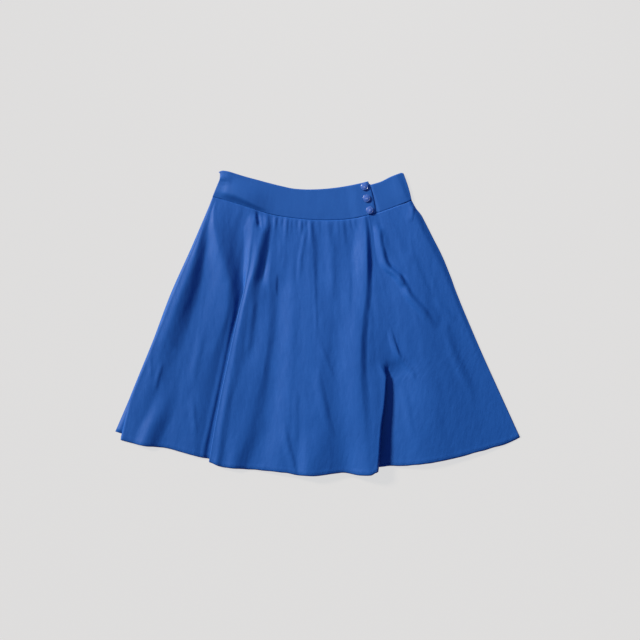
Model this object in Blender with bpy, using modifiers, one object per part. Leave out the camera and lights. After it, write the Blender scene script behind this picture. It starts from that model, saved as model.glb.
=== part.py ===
# An a-line skirt laid flat on its back panel. Metres, +Z up, the waist towards +Y, the hem towards -Y.
# The origin lies on the surface under the skirt, below the middle of its bounding box.
#
# Both panels are cut as part of a ring, so places are polar: a radius in millimetres from the apex,
# where the side seams would meet above the waist, and an angle in degrees from straight down,
# positive towards +X. Heights, widths and thicknesses are in millimetres too.

import math

import bmesh
import bpy
import numpy as np

MM = 0.001
APEX_X = -17.9
APEX_Y = 651.65

CLOTH = 1.2
BAND_CLOTH = 1.6
GAP = 0.3
BACK_INSET = 0.12
BACK_SEAM_STEP = 1.5

# Waistband. Columns: angle, radius.
BAND_TOP = [
    (-23.9, 406.0), (-22.9, 401.6), (-20.9, 398.9), (-17.5, 398.1), (-14.1, 397.9), (-10.7, 399.0),
    (-6.9, 401.4), (-3.3, 404.0), (0.7, 404.6), (8.2, 404.5), (15.9, 405.1)]
UNDERLAP_TOP = [(12.0, 412.0), (16.4, 412.5), (18.7, 412.8), (22.1, 410.6), (24.6, 411.4), (25.3, 414.7)]
SEAM = [
    (-23.0, 453.2), (-19.9, 451.0), (-16.9, 450.2), (-13.4, 451.5), (-8.5, 455.4), (-1.3, 459.1),
    (5.3, 463.0), (10.9, 465.6), (15.7, 465.6), (20.9, 464.9), (24.4, 465.3)]

# The band's two ends. Columns: radius, angle.
BAND_LEFT = [(401.6, -23.1), (406.0, -23.9), (412.0, -23.2), (420.0, -22.9), (453.2, -22.9)]
OVERLAP_END = [(405.0, 15.9), (425.0, 16.1), (440.0, 16.0), (465.0, 15.6)]
UNDERLAP_RIGHT = [(411.0, 25.0), (414.7, 25.2), (430.0, 25.05), (450.0, 24.7), (465.3, 24.3)]
UNDERLAP_REACH = 25.0

# Rows down the band, as shares of its depth. From the last but one on it lies level beside the seam.
BAND_ROWS = [0.0, 0.3, 0.6, 0.78, 0.88, 0.965, 1.0]

# How far the band stands above where it rests. Columns: angle, at its top, in its middle, at the seam,
# and how far down the middle is.
BAND_LIFT = [
    (-23.9, 0.0, 0.0, 0.0, 0.7), (-22.6, 1.8, 1.8, 0.4, 0.7), (-21.4, 2.6, 3.2, 0.4, 0.72),
    (-20.0, 2.0, 5.6, 0.3, 0.72), (-18.0, 1.5, 7.0, 0.1, 0.72), (-16.0, 1.2, 7.2, 0.1, 0.75),
    (-13.5, 1.0, 6.0, 0.1, 0.81), (-11.5, 0.7, 3.6, 0.1, 0.86), (-9.6, 0.5, 1.4, 0.2, 0.86),
    (-7.5, 0.3, 0.5, 0.2, 0.8), (0.0, 0.2, 0.4, 0.2, 0.7), (9.5, 0.2, 0.4, 0.3, 0.6),
    (12.4, 1.8, 1.8, 1.8, 0.5), (16.2, 1.8, 1.8, 1.8, 0.5)]
UNDERLAP_LIFT = [
    (12.0, 0.0, 0.0, 0.0, 0.7), (16.1, 0.0, 0.0, 0.0, 0.7), (16.7, 1.1, 1.1, 1.1, 0.7),
    (20.0, 1.0, 1.3, 1.0, 0.7), (23.2, 1.8, 2.6, 2.2, 0.7), (24.5, 0.6, 0.5, 0.3, 0.7),
    (25.3, 0.0, 0.0, 0.0, 0.7)]

# Hem of the front, in three stretches parted by the two deep folds. Columns: angle, radius.
HEM_LEFT = [
    (-21.75, 933.5), (-20.5, 931.8), (-19.3, 929.7), (-17.7, 924.2), (-16.5, 920.6), (-15.3, 919.8),
    (-12.6, 921.1), (-11.6, 920.2)]
HEM_MIDDLE = [
    (-11.3, 926.5), (-9.5, 930.5), (-7.0, 928.2), (-5.5, 927.2), (-2.6, 928.5), (-1.1, 932.0),
    (0.8, 933.2), (3.8, 929.3), (6.1, 937.2), (7.1, 938.7), (7.7, 935.5)]
HEM_RIGHT = [
    (8.1, 927.0), (9.1, 927.2), (10.5, 931.1), (12.0, 934.1), (14.0, 937.4), (17.8, 941.7),
    (20.8, 945.0), (23.2, 948.3), (24.45, 947.2)]
HEM_BACK = [
    (-22.7, 923.3), (-22.0, 922.6), (-20.0, 917.0), (-16.0, 911.0), (-11.0, 911.0), (0.0, 920.0),
    (9.0, 918.0), (15.0, 929.0), (24.3, 940.0)]
BACK_LEFT = [
    (450.0, -22.75), (550.0, -22.7), (640.0, -22.85), (750.0, -22.6), (850.0, -22.65),
    (923.3, -22.7)]

# Lines along the front, from the left side to the right: its edges, crests and valleys.
# Columns: radius, angle, lift. Between two lines the cloth rises or falls in one smooth wave.
LEFT_EDGE = [
    (453.0, -22.85, 0.4), (475.0, -22.75, 0.0), (550.0, -22.8, 0.0), (640.0, -23.0, 0.0),
    (750.0, -22.7, 0.0), (850.0, -22.65, 0.0), (880.0, -22.3, 0.0), (915.0, -22.0, 0.0),
    (935.0, -21.75, 0.3)]
LEFT_RIM = [
    (453.0, -22.65, 1.0), (475.0, -22.55, 2.2), (500.0, -22.5, 3.8), (550.0, -22.45, 7.6),
    (600.0, -22.6, 10.8), (650.0, -22.6, 10.6), (700.0, -22.5, 7.6), (760.0, -22.5, 5.2),
    (850.0, -22.45, 3.2), (935.0, -21.6, 2.6)]
LEFT_SHOULDER = [
    (453.0, -22.4, 1.1), (475.0, -22.35, 2.6), (500.0, -22.2, 4.4), (525.0, -22.0, 6.6),
    (550.0, -21.7, 9.4), (600.0, -21.4, 13.0), (650.0, -21.3, 13.2), (700.0, -21.2, 10.2),
    (760.0, -21.2, 6.2), (850.0, -21.0, 4.4), (935.0, -20.6, 3.6)]
LEFT_VALLEY = [
    (453.0, -22.1, 1.1), (475.0, -22.0, 2.8), (500.0, -21.6, 4.4), (525.0, -20.8, 4.8),
    (550.0, -19.9, 3.8), (600.0, -18.8, 2.8), (650.0, -18.4, 2.8), (700.0, -18.4, 3.4),
    (760.0, -18.3, 3.2), (850.0, -17.5, 2.2), (935.0, -16.9, 1.2)]
LEFT_CREST = [
    (453.0, -21.8, 1.1), (475.0, -21.3, 4.0), (500.0, -20.2, 8.0), (525.0, -18.6, 9.8),
    (550.0, -16.8, 11.0), (575.0, -15.3, 11.2), (600.0, -14.3, 10.2), (650.0, -13.5, 6.6),
    (700.0, -13.9, 5.2), (760.0, -14.4, 4.6), (800.0, -14.5, 4.2), (860.0, -14.0, 4.0),
    (900.0, -13.6, 4.2), (935.0, -13.4, 4.2)]
LEFT_FOOT = [
    (453.0, -13.6, 1.0), (462.0, -13.8, 1.0), (475.0, -14.1, 0.9), (490.0, -14.1, 0.8),
    (500.0, -13.8, 0.7), (525.0, -13.1, 0.6), (550.0, -12.6, 0.5), (575.0, -12.2, 0.4),
    (640.0, -11.8, 0.2), (935.0, -11.8, 0.3)]
LEFT_TOP = [
    (453.0, -12.5, 1.2), (462.0, -12.3, 2.2), (475.0, -12.0, 5.0), (500.0, -11.7, 6.0),
    (525.0, -11.5, 6.0), (560.0, -11.2, 6.0), (600.0, -11.2, 6.0), (650.0, -11.2, 5.8),
    (700.0, -11.2, 5.6), (800.0, -11.2, 5.4), (935.0, -11.1, 5.0)]
LEFT_BROW = [
    (453.0, -10.2, 1.1), (462.0, -9.8, 1.9), (475.0, -9.6, 3.8), (500.0, -10.0, 6.8),
    (525.0, -10.1, 8.2), (560.0, -10.2, 9.0), (580.0, -10.4, 9.0), (600.0, -10.6, 8.4),
    (650.0, -10.7, 7.8), (700.0, -10.7, 7.6), (760.0, -10.7, 7.4), (800.0, -10.7, 7.2),
    (935.0, -10.5, 6.8)]
HOLLOW = [
    (453.0, -8.8, 0.9), (462.0, -8.4, 0.6), (475.0, -8.0, 0.5), (500.0, -7.9, 0.4), (525.0, -8.0, 0.3),
    (555.0, -8.2, 0.3), (575.0, -8.3, 0.6), (590.0, -8.3, 2.6), (610.0, -8.3, 3.8), (650.0, -8.2, 3.6),
    (700.0, -8.3, 4.4), (760.0, -9.4, 5.8), (800.0, -9.8, 5.8), (850.0, -9.8, 5.6), (935.0, -9.8, 4.8)]
LEFT_RISE = [
    (453.0, -7.4, 1.0), (500.0, -7.1, 1.0), (540.0, -7.1, 1.6), (562.0, -7.1, 2.6),
    (580.0, -7.1, 3.0), (604.0, -6.8, 3.4), (650.0, -6.4, 5.2), (700.0, -6.3, 6.0),
    (760.0, -6.6, 6.4), (800.0, -7.2, 6.4), (850.0, -7.7, 6.8), (900.0, -8.3, 6.9), (935.0, -8.7, 7.0)]
LEFT_SAG = [
    (453.0, -6.4, 1.0), (500.0, -6.0, 1.2), (540.0, -5.8, 1.8), (562.0, -5.6, 1.8),
    (575.0, -5.5, 1.2), (590.0, -5.4, 1.0), (610.0, -5.3, 2.0), (650.0, -5.2, 3.6), (700.0, -5.2, 4.0),
    (760.0, -5.3, 3.8), (800.0, -5.4, 3.4), (850.0, -5.5, 3.0), (900.0, -6.4, 2.6), (935.0, -7.0, 2.2)]
MIDDLE_CREST = [
    (455.0, -4.0, 1.0), (550.0, -2.8, 2.6), (604.0, -2.2, 5.2), (700.0, -2.0, 9.0),
    (760.0, -2.1, 9.6), (800.0, -2.2, 9.6), (850.0, -2.3, 9.2), (935.0, -2.5, 8.2)]
MIDDLE_RIDGE = [
    (460.0, 1.4, 1.0), (550.0, 1.2, 2.6), (604.0, 1.4, 6.4), (700.0, 1.6, 12.0), (760.0, 1.8, 13.6),
    (800.0, 2.0, 14.0), (850.0, 2.0, 13.2), (935.0, 1.2, 11.0)]
MIDDLE_VALLEY = [
    (460.0, 9.6, 1.0), (500.0, 9.2, 1.1), (550.0, 7.8, 2.4), (604.0, 6.4, 5.2), (650.0, 5.3, 7.8),
    (700.0, 4.2, 9.8), (760.0, 3.7, 11.2), (800.0, 3.8, 11.6), (850.0, 3.9, 11.0), (900.0, 4.0, 9.2),
    (935.0, 4.0, 8.0)]
RIGHT_CREST = [
    (460.0, 13.0, 1.9), (475.0, 12.8, 3.2), (500.0, 12.3, 5.4), (550.0, 11.3, 8.4),
    (600.0, 10.2, 9.8), (650.0, 8.8, 12.4), (700.0, 7.9, 14.8), (750.0, 7.3, 16.2),
    (800.0, 7.1, 17.4), (830.0, 7.1, 17.6), (870.0, 7.1, 17.6), (935.0, 7.0, 17.8)]
RIGHT_DIP = [
    (460.0, 13.8, 1.8), (500.0, 13.4, 1.8), (550.0, 12.4, 2.0), (600.0, 11.5, 5.4), (650.0, 10.1, 8.6),
    (700.0, 9.1, 10.6), (750.0, 8.5, 12.6), (800.0, 8.3, 15.2), (830.0, 8.1, 16.4),
    (870.0, 7.8, 17.2), (935.0, 7.4, 18.0)]
RIGHT_TOP = [
    (460.0, 14.0, 1.8), (500.0, 13.6, 1.8), (550.0, 12.7, 2.0), (600.0, 11.8, 5.4), (650.0, 10.9, 8.2),
    (700.0, 10.2, 9.6), (735.0, 10.0, 10.0), (750.0, 10.2, 10.8), (765.0, 10.4, 12.0),
    (800.0, 10.0, 14.0), (850.0, 9.0, 16.4), (890.0, 8.4, 17.3), (935.0, 7.9, 18.1)]
RIGHT_FOOT = [
    (460.0, 14.3, 1.2), (500.0, 13.9, 1.8), (550.0, 13.1, 2.2), (600.0, 12.6, 5.2), (650.0, 12.2, 7.8),
    (700.0, 12.2, 8.2), (735.0, 12.1, 7.2), (750.0, 12.0, 4.2), (765.0, 12.0, 2.0), (800.0, 11.6, 0.4),
    (935.0, 8.8, 0.2)]
RIGHT_PLAIN = [
    (460.0, 19.5, 1.1), (600.0, 18.8, 5.6), (700.0, 17.2, 8.6), (850.0, 15.4, 9.6), (935.0, 14.4, 8.0)]
RIGHT_RIM = [
    (460.0, 23.3, 1.1), (480.0, 23.4, 2.6), (500.0, 23.4, 3.8), (550.0, 23.6, 3.8), (600.0, 23.9, 2.6),
    (700.0, 23.8, 1.6), (850.0, 23.6, 0.9), (935.0, 23.5, 0.8)]
RIGHT_EDGE = [
    (465.0, 24.3, 0.4), (480.0, 24.4, 0.0), (500.0, 24.9, 0.0), (550.0, 25.1, 0.0), (580.0, 25.2, 0.0),
    (625.0, 25.0, 0.0), (650.0, 24.8, 0.0), (700.0, 24.6, 0.0), (800.0, 24.45, 0.0),
    (948.0, 24.45, 0.2)]

# The two deep folds. Above its start a fold is only a smooth rise from its foot to its top, and from
# its full radius on the cloth doubles back under a round nose. Columns of a nose: radius, angle.
LEFT_NOSE = [
    (560.0, -11.2), (600.0, -11.3), (650.0, -11.5), (700.0, -11.55), (800.0, -11.6), (875.0, -11.5),
    (935.0, -11.35)]
RIGHT_NOSE = [
    (725.0, 10.1), (738.0, 10.3), (750.0, 10.85), (762.0, 10.95), (775.0, 10.7), (800.0, 10.25),
    (825.0, 9.75), (850.0, 9.2), (875.0, 8.8), (900.0, 8.45), (935.0, 7.95)]
LEFT_FOLD = {
    "foot": LEFT_FOOT, "top": LEFT_TOP, "nose": LEFT_NOSE, "start": 560.0, "full": 640.0, "facing": -1}
RIGHT_FOLD = {
    "foot": RIGHT_FOOT, "top": RIGHT_TOP, "nose": RIGHT_NOSE, "start": 730.0, "full": 780.0,
    "facing": 1}
BEND_SHARE = 0.22
BEND_TURN = math.radians(165.0)
BEND_STRAIGHT = (1.0 - 2.0 * BEND_SHARE * (1.0 - math.cos(BEND_TURN))) / math.sin(BEND_TURN)
BEND_OVERLAP = -BEND_STRAIGHT * math.cos(BEND_TURN) - 2.0 * BEND_SHARE * math.sin(BEND_TURN)
BEND_REACH = BEND_OVERLAP + BEND_SHARE
BEND_COLUMNS = 5
FOLD_COLUMNS = 2 * BEND_COLUMNS + 1

# Stretches across the front: the part of the panel, the two lines or the fold, and the columns.
STRETCHES = [
    ("left", LEFT_EDGE, LEFT_RIM, 1),
    ("left", LEFT_RIM, LEFT_SHOULDER, 2),
    ("left", LEFT_SHOULDER, LEFT_VALLEY, 3),
    ("left", LEFT_VALLEY, LEFT_CREST, 4),
    ("left", LEFT_CREST, LEFT_FOLD, 4),
    ("left fold", LEFT_FOLD, None, FOLD_COLUMNS),
    ("middle", LEFT_FOLD, LEFT_BROW, 2),
    ("middle", LEFT_BROW, HOLLOW, 3),
    ("gathered", HOLLOW, LEFT_RISE, 2),
    ("gathered", LEFT_RISE, LEFT_SAG, 2),
    ("gathered", LEFT_SAG, MIDDLE_CREST, 3),
    ("gathered", MIDDLE_CREST, MIDDLE_RIDGE, 6),
    ("gathered", MIDDLE_RIDGE, MIDDLE_VALLEY, 6),
    ("gathered", MIDDLE_VALLEY, RIGHT_CREST, 4),
    ("middle", RIGHT_CREST, RIGHT_DIP, 4),
    ("middle", RIGHT_DIP, RIGHT_FOLD, 2),
    ("right fold", RIGHT_FOLD, None, FOLD_COLUMNS),
    ("right", RIGHT_FOLD, RIGHT_PLAIN, 6),
    ("right", RIGHT_PLAIN, RIGHT_RIM, 4),
    ("right", RIGHT_RIM, RIGHT_EDGE, 2)]
GATHER_SPLIT = 4

# Softer ridges laid over those waves. Each has the part of the panel it lies on, its half widths to the
# left and to the right in millimetres, and its path. Columns of a path: radius, angle, height.
RIDGES = [
    ("left", 24.0, 28.0, [
        (800.0, -18.4, 0.0), (830.0, -18.4, 1.6), (855.0, -18.5, 3.0), (880.0, -18.7, 4.2),
        (905.0, -18.9, 4.8), (935.0, -19.0, 5.2)]),
    ("right", 16.0, 8.0, [
        (478.0, 15.3, 0.0), (505.0, 15.2, 1.8), (530.0, 14.9, 2.4), (568.0, 15.3, 2.6),
        (588.0, 16.6, 2.6), (612.0, 17.1, 1.8), (662.0, 18.7, 1.5), (700.0, 19.8, 0.0)]),
    ("right", 18.0, 7.0, [
        (676.0, 12.9, 0.0), (702.0, 13.0, 1.5), (726.0, 13.2, 2.2), (748.0, 14.0, 2.0),
        (785.0, 14.7, 0.0)]),
    ("gathered", 22.0, 36.0, [(850.0, 0.2, 0.0), (900.0, 0.0, 2.6), (935.0, -0.2, 3.4)])]
RIDGE_FADE = 5.0

# Gathers under the band. Columns: angle, height, length, half width.
GATHERS = [
    (-7.5, 1.1, 36.0, 6.0), (-6.2, 0.6, 26.0, 5.0), (-4.9, 1.2, 48.0, 7.0), (-3.9, 0.7, 34.0, 5.0),
    (-3.0, 0.5, 20.0, 4.5), (-1.6, 1.2, 36.0, 5.5), (-0.7, 0.6, 20.0, 4.5), (0.6, 1.4, 62.0, 6.5),
    (2.4, 0.7, 40.0, 6.5), (3.4, 0.4, 22.0, 4.5), (4.5, 1.2, 60.0, 8.0), (5.4, 0.5, 20.0, 4.5),
    (6.6, 1.0, 44.0, 6.5), (7.7, 0.8, 64.0, 7.0), (9.2, 0.7, 24.0, 5.0), (10.4, 0.7, 28.0, 5.5)]
GATHER_START = 7.0

# Rows down the front, as shares of the way from seam to hem.
GATHER_ROWS = [0.0, 0.016, 0.036, 0.062, 0.095]
MAIN_ROWS = 20
MAIN_START = 0.135

# Buttons on the overlap's end. Columns: angle, radius.
BUTTONS = [(14.57, 412.6), (14.4, 434.5), (14.4, 457.2)]
BUTTON_DIAMETER = 13.5
BUTTON_HEIGHT = 3.0
BUTTON_EDGE = 1.5
BUTTON_STEPS = 20
DOME_STEPS = 5

CLOTH_COLOUR = (0.019, 0.091, 0.352, 1.0)
BUTTON_COLOUR = (0.022, 0.100, 0.370, 1.0)


def through(rows, x, column=1):
    """Smooth values through a table's rows, by its first column, that never overshoot a row."""
    table = np.array(rows, dtype=float)
    xs = table[:, 0]
    ys = table[:, column]
    steps = np.diff(ys) / np.diff(xs)
    products = steps[:-1] * steps[1:]
    sums = np.where(products > 0.0, steps[:-1] + steps[1:], 1.0)
    inner = np.where(products > 0.0, 2.0 * products / sums, 0.0)
    slopes = np.concatenate([steps[:1], inner, steps[-1:]])
    x = np.clip(x, xs[0], xs[-1])
    i = np.clip(np.searchsorted(xs, x) - 1, 0, len(xs) - 2)
    width = xs[i + 1] - xs[i]
    t = (x - xs[i]) / width
    start = ys[i] * (1.0 + 2.0 * t) * (1.0 - t) ** 2 + slopes[i] * width * t * (1.0 - t) ** 2
    end = ys[i + 1] * t * t * (3.0 - 2.0 * t) + slopes[i + 1] * width * t * t * (t - 1.0)
    return start + end


def smooth(t):
    """An even rise from 0 to 1."""
    t = np.clip(t, 0.0, 1.0)
    return t * t * (3.0 - 2.0 * t)


def mix(a, b, t):
    return a + (b - a) * t


def bump(x):
    """A soft ridge, 1 on its line and 0 from one half width on."""
    return np.cos(np.clip(x, -1.0, 1.0) * math.pi / 2.0) ** 2


def degrees_of(length, radius):
    return np.degrees(length / radius)


def place(radius, angle, height):
    """Polar place in millimetres and degrees to X, Y, Z in metres."""
    turn = np.radians(angle)
    x = APEX_X + radius * np.sin(turn)
    y = APEX_Y - radius * np.cos(turn)
    return np.stack([x, y, height + 0.0 * x], axis=-1) * MM


def fold_at(fold, radius):
    """Foot angle, foot lift, height, share of the doubled-back form, and plain width of a fold."""
    foot_lift = through(fold["foot"], radius, 2)
    height = through(fold["top"], radius, 2) - foot_lift
    share = smooth((radius - fold["start"]) / (fold["full"] - fold["start"]))
    plain_foot = through(fold["foot"], radius)
    plain_width = through(fold["top"], radius) - plain_foot
    tucked_foot = through(fold["nose"], radius) - fold["facing"] * degrees_of(BEND_REACH * height, radius)
    foot = mix(plain_foot, tucked_foot, share)
    return foot, foot_lift, height, share, plain_width


def bend_path(t):
    """Section of a doubled-back fold of height 1: distance towards its nose, and height."""
    share = BEND_COLUMNS / FOLD_COLUMNS
    first = BEND_TURN * np.clip(t / share, 0.0, 1.0)
    run = BEND_STRAIGHT * np.clip((t - share) / (1.0 - 2.0 * share), 0.0, 1.0)
    last = BEND_TURN * (1.0 - np.clip((t - 1.0 + share) / share, 0.0, 1.0))
    last_out = BEND_SHARE * (math.sin(BEND_TURN) - np.sin(last))
    last_up = BEND_SHARE * (np.cos(last) - math.cos(BEND_TURN))
    out = -BEND_SHARE * np.sin(first) - run * math.cos(BEND_TURN) - last_out
    up = BEND_SHARE * (1.0 - np.cos(first)) + run * math.sin(BEND_TURN) + last_up
    return out, up


def fold_point(fold, radius, t):
    """Angle and lift of a point on a fold, from its foot at t = 0 to its top at t = 1."""
    foot, foot_lift, height, share, plain_width = fold_at(fold, radius)
    out, up = bend_path(t)
    tucked = fold["facing"] * degrees_of(out * height, radius)
    angle = foot + mix(plain_width * t, tucked, share)
    lift = foot_lift + height * mix(smooth(t), up, share)
    return angle, lift


def line_at(line, radius, fold_end):
    """Angle and lift of a line across the front, or of a fold's foot (0) or top (1)."""
    if isinstance(line, dict):
        return fold_point(line, radius, fold_end)
    return through(line, radius), through(line, radius, 2)


def surface(stretch, t, radius):
    """Angle and lift of the front's middle surface, at a share t of the way across a stretch."""
    part, first, second, _ = STRETCHES[stretch]
    if second is None:
        from_foot = t if first["facing"] < 0 else 1.0 - t
        return fold_point(first, radius, from_foot)
    angle_a, lift_a = line_at(first, radius, 1.0 if first is LEFT_FOLD else 0.0)
    angle_b, lift_b = line_at(second, radius, 1.0 if second is RIGHT_FOLD else 0.0)
    angle = mix(angle_a, angle_b, t)
    lift = mix(lift_a, lift_b, smooth(t))
    return angle, lift + ridge_lift(part, radius, angle) + gather_lift(part, radius, angle)


def ridge_lift(part, radius, angle):
    """Height that the softer ridges add on one part of the panel."""
    total = 0.0
    for where, left_width, right_width, path in RIDGES:
        if where != part:
            continue
        away = np.radians(angle - through(path, radius)) * radius
        height = through(path, radius, 2)
        total = total + height * bump(away / np.where(away < 0.0, left_width, right_width))
    left_foot = fold_point(LEFT_FOLD, radius, 0.0)[0]
    right_foot = fold_point(RIGHT_FOLD, radius, 0.0)[0]
    clear = np.minimum(np.abs(angle - left_foot), np.abs(angle - right_foot))
    return total * smooth(np.radians(clear) * radius / RIDGE_FADE)


def gather_lift(part, radius, angle):
    """Height that the gathers add just below the band."""
    total = 0.0
    if part != "gathered":
        return total
    below = radius - through(SEAM, angle)
    for middle, height, length, half_width in GATHERS:
        away = np.radians(angle - middle) * radius
        fade = smooth(below / GATHER_START) * (1.0 - smooth((below - 0.25 * length) / (0.75 * length)))
        total = total + height * bump(away / half_width) * fade
    return total


def ends_of(stretch, t):
    """Radius of the seam and of the hem on one column of the front."""
    part = STRETCHES[stretch][0]
    top_angle = surface(stretch, t, np.float64(460.0))[0]
    hem_angle = surface(stretch, t, np.float64(928.0))[0]
    start = through(SEAM, top_angle) + GAP / 2.0
    if part == "left":
        return start, through(HEM_LEFT, hem_angle)
    if part == "right":
        return start, through(HEM_RIGHT, hem_angle)
    if part == "left fold":
        return start, mix(HEM_LEFT[-1][1], HEM_MIDDLE[0][1], t)
    if part == "right fold":
        return start, mix(HEM_MIDDLE[-1][1], HEM_RIGHT[0][1], t)
    return start, through(HEM_MIDDLE, hem_angle)


def front_columns(split):
    """Columns across the front, as (stretch, share of the way across it)."""
    columns = []
    for stretch, (part, _, _, count) in enumerate(STRETCHES):
        steps = count * split if part == "gathered" else count
        columns += [(stretch, step / steps) for step in range(steps)]
    columns.append((len(STRETCHES) - 1, 1.0))
    return columns


def front_row(columns, share):
    """Points of the front's middle surface along one row."""
    base = CLOTH + GAP + CLOTH / 2.0
    points = []
    for stretch, t in columns:
        start, end = ends_of(stretch, t)
        radius = mix(start, end, share)
        angle, lift = surface(stretch, t, radius)
        points.append(place(radius, angle, base + lift))
    return points


def sheet_object(name, rows, thickness, material, collection):
    """An open surface through rows of points, given its wall. A row may have fewer, wider steps."""
    mesh = bmesh.new()
    lines = [[mesh.verts.new(point) for point in row] for row in rows]
    for upper, lower in zip(lines, lines[1:]):
        if len(upper) == len(lower):
            for i in range(len(upper) - 1):
                mesh.faces.new((upper[i], lower[i], lower[i + 1], upper[i + 1]))
        else:
            join_split_rows(mesh, upper, lower)
    data = bpy.data.meshes.new(name)
    mesh.to_mesh(data)
    mesh.free()
    data.shade_smooth()
    data.materials.append(material)
    obj = bpy.data.objects.new(name, data)
    collection.objects.link(obj)
    wall = obj.modifiers.new("wall", "SOLIDIFY")
    wall.thickness = thickness * MM
    wall.offset = 0.0
    wall.use_even_offset = True
    wall.use_quality_normals = True
    return obj


def join_split_rows(mesh, upper, lower):
    """Faces between the last finely divided row and the first plain one."""
    i = 0
    j = 0
    for part, _, _, count in STRETCHES:
        split = GATHER_SPLIT if part == "gathered" else 1
        for _ in range(count):
            if split == 1:
                mesh.faces.new((upper[i], lower[j], lower[j + 1], upper[i + 1]))
            else:
                half = split // 2
                for step in range(half):
                    mesh.faces.new((upper[i + step], lower[j], upper[i + step + 1]))
                mesh.faces.new((upper[i + half], lower[j], lower[j + 1]))
                for step in range(half, split):
                    mesh.faces.new((upper[i + step], lower[j + 1], upper[i + step + 1]))
            i += split
            j += 1


def skirt_front(material, collection):
    fine = front_columns(GATHER_SPLIT)
    plain = front_columns(1)
    rows = [front_row(fine, share) for share in GATHER_ROWS]
    for step in range(MAIN_ROWS + 1):
        rows.append(front_row(plain, mix(MAIN_START, 1.0, step / MAIN_ROWS)))
    return sheet_object("skirt_front", rows, CLOTH, material, collection)


def flat_sheet(name, left, right, top, bottom, columns, rows, thickness, material, collection):
    """A flat sheet on the surface, between two edges (angle by radius) and two ends (radius by angle)."""
    lines = []
    for row in range(rows + 1):
        share = row / rows
        points = []
        for column in range(columns + 1):
            across = column / columns
            radius = mix(top(0.0), bottom(0.0), share)
            for _ in range(3):
                angle = mix(left(radius), right(radius), across)
                radius = mix(top(angle), bottom(angle), share)
            points.append(place(radius, angle, thickness / 2.0))
        lines.append(points)
    return sheet_object(name, lines, thickness, material, collection)


def skirt_back(material, collection):
    return flat_sheet(
        "skirt_back",
        lambda radius: through(BACK_LEFT, radius),
        lambda radius: through(RIGHT_EDGE, radius) - BACK_INSET,
        lambda angle: through(SEAM, angle) - BACK_SEAM_STEP + GAP / 2.0,
        lambda angle: through(HEM_BACK, angle),
        20, 6, CLOTH, material, collection)


def band_back(material, collection):
    return flat_sheet(
        "band_back",
        lambda radius: through(BAND_LEFT, radius) + 2.0 * BACK_INSET,
        lambda radius: through(UNDERLAP_RIGHT, radius) - BACK_INSET,
        lambda angle: through(BAND_TOP + UNDERLAP_TOP[1:], angle) + BACK_SEAM_STEP,
        lambda angle: through(SEAM, angle) - BACK_SEAM_STEP - GAP / 2.0,
        48, 3, BAND_CLOTH, material, collection)


def band_sheet(name, left, right, top, lifts, columns, material, collection):
    """A stretch of the waistband that lies on the back band, from its top edge to the seam."""
    base = BAND_CLOTH + GAP + BAND_CLOTH / 2.0
    lines = []
    for share in BAND_ROWS:
        points = []
        for column in range(columns + 1):
            across = column / columns
            radius = 430.0
            for _ in range(4):
                angle = mix(left(radius), right(radius), across)
                radius = mix(top(angle), through(SEAM, angle) - GAP / 2.0, share)
            middle = through(lifts, angle, 4)
            level = BAND_ROWS[-2]
            upper = mix(through(lifts, angle, 1), through(lifts, angle, 2), smooth(share / middle))
            lower = smooth((share - middle) / (level - middle))
            lift = mix(upper, through(lifts, angle, 3), lower)
            points.append(place(radius, angle, base + lift))
        lines.append(points)
    return sheet_object(name, lines, BAND_CLOTH, material, collection)


def band_front(material, collection):
    return band_sheet(
        "band_front",
        lambda radius: through(BAND_LEFT, radius),
        lambda radius: through(OVERLAP_END, radius),
        lambda angle: through(BAND_TOP, angle),
        BAND_LIFT, 36, material, collection)


def band_underlap(material, collection):
    return band_sheet(
        "band_underlap",
        lambda radius: through(OVERLAP_END, radius) - degrees_of(UNDERLAP_REACH, radius),
        lambda radius: through(UNDERLAP_RIGHT, radius),
        lambda angle: through(UNDERLAP_TOP, angle),
        UNDERLAP_LIFT, 14, material, collection)


def button_mesh(material):
    """A domed button: the profile from its crown out and down to its edge, then in under it."""
    half = BUTTON_DIAMETER / 2.0
    dome = BUTTON_HEIGHT - BUTTON_EDGE
    profile = []
    for step in range(DOME_STEPS + 1):
        turn = math.pi / 2.0 * step / DOME_STEPS
        profile.append((half * math.sin(turn), BUTTON_EDGE + dome * math.cos(turn)))
    profile.append((half, BUTTON_EDGE * 0.35))
    profile.append((half - 0.6, 0.0))
    profile.append((0.0, 0.0))
    data = bpy.data.meshes.new("button")
    points = [(x * MM, 0.0, z * MM) for x, z in profile]
    data.from_pydata(points, [(i, i + 1) for i in range(len(points) - 1)], [])
    data.materials.append(material)
    return data


def buttons(material, collection):
    data = button_mesh(material)
    lap = BAND_CLOTH + GAP + BAND_CLOTH + through(BAND_LIFT, 15.0)
    for number, (angle, radius) in enumerate(BUTTONS, start=1):
        obj = bpy.data.objects.new(f"button_{number}", data)
        collection.objects.link(obj)
        obj.location = place(radius, angle, lap + GAP)
        turned = obj.modifiers.new("turned", "SCREW")
        turned.steps = BUTTON_STEPS
        turned.render_steps = BUTTON_STEPS
        turned.use_merge_vertices = True
        turned.merge_threshold = 0.00001


def material_of(name, colour, roughness):
    material = bpy.data.materials.new(name)
    material.use_nodes = True
    shader = material.node_tree.nodes["Principled BSDF"]
    shader.inputs["Base Color"].default_value = colour
    shader.inputs["Roughness"].default_value = roughness
    shader.inputs["Metallic"].default_value = 0.0
    return material


def clear_scene():
    for obj in list(bpy.data.objects):
        bpy.data.objects.remove(obj, do_unlink=True)


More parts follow.
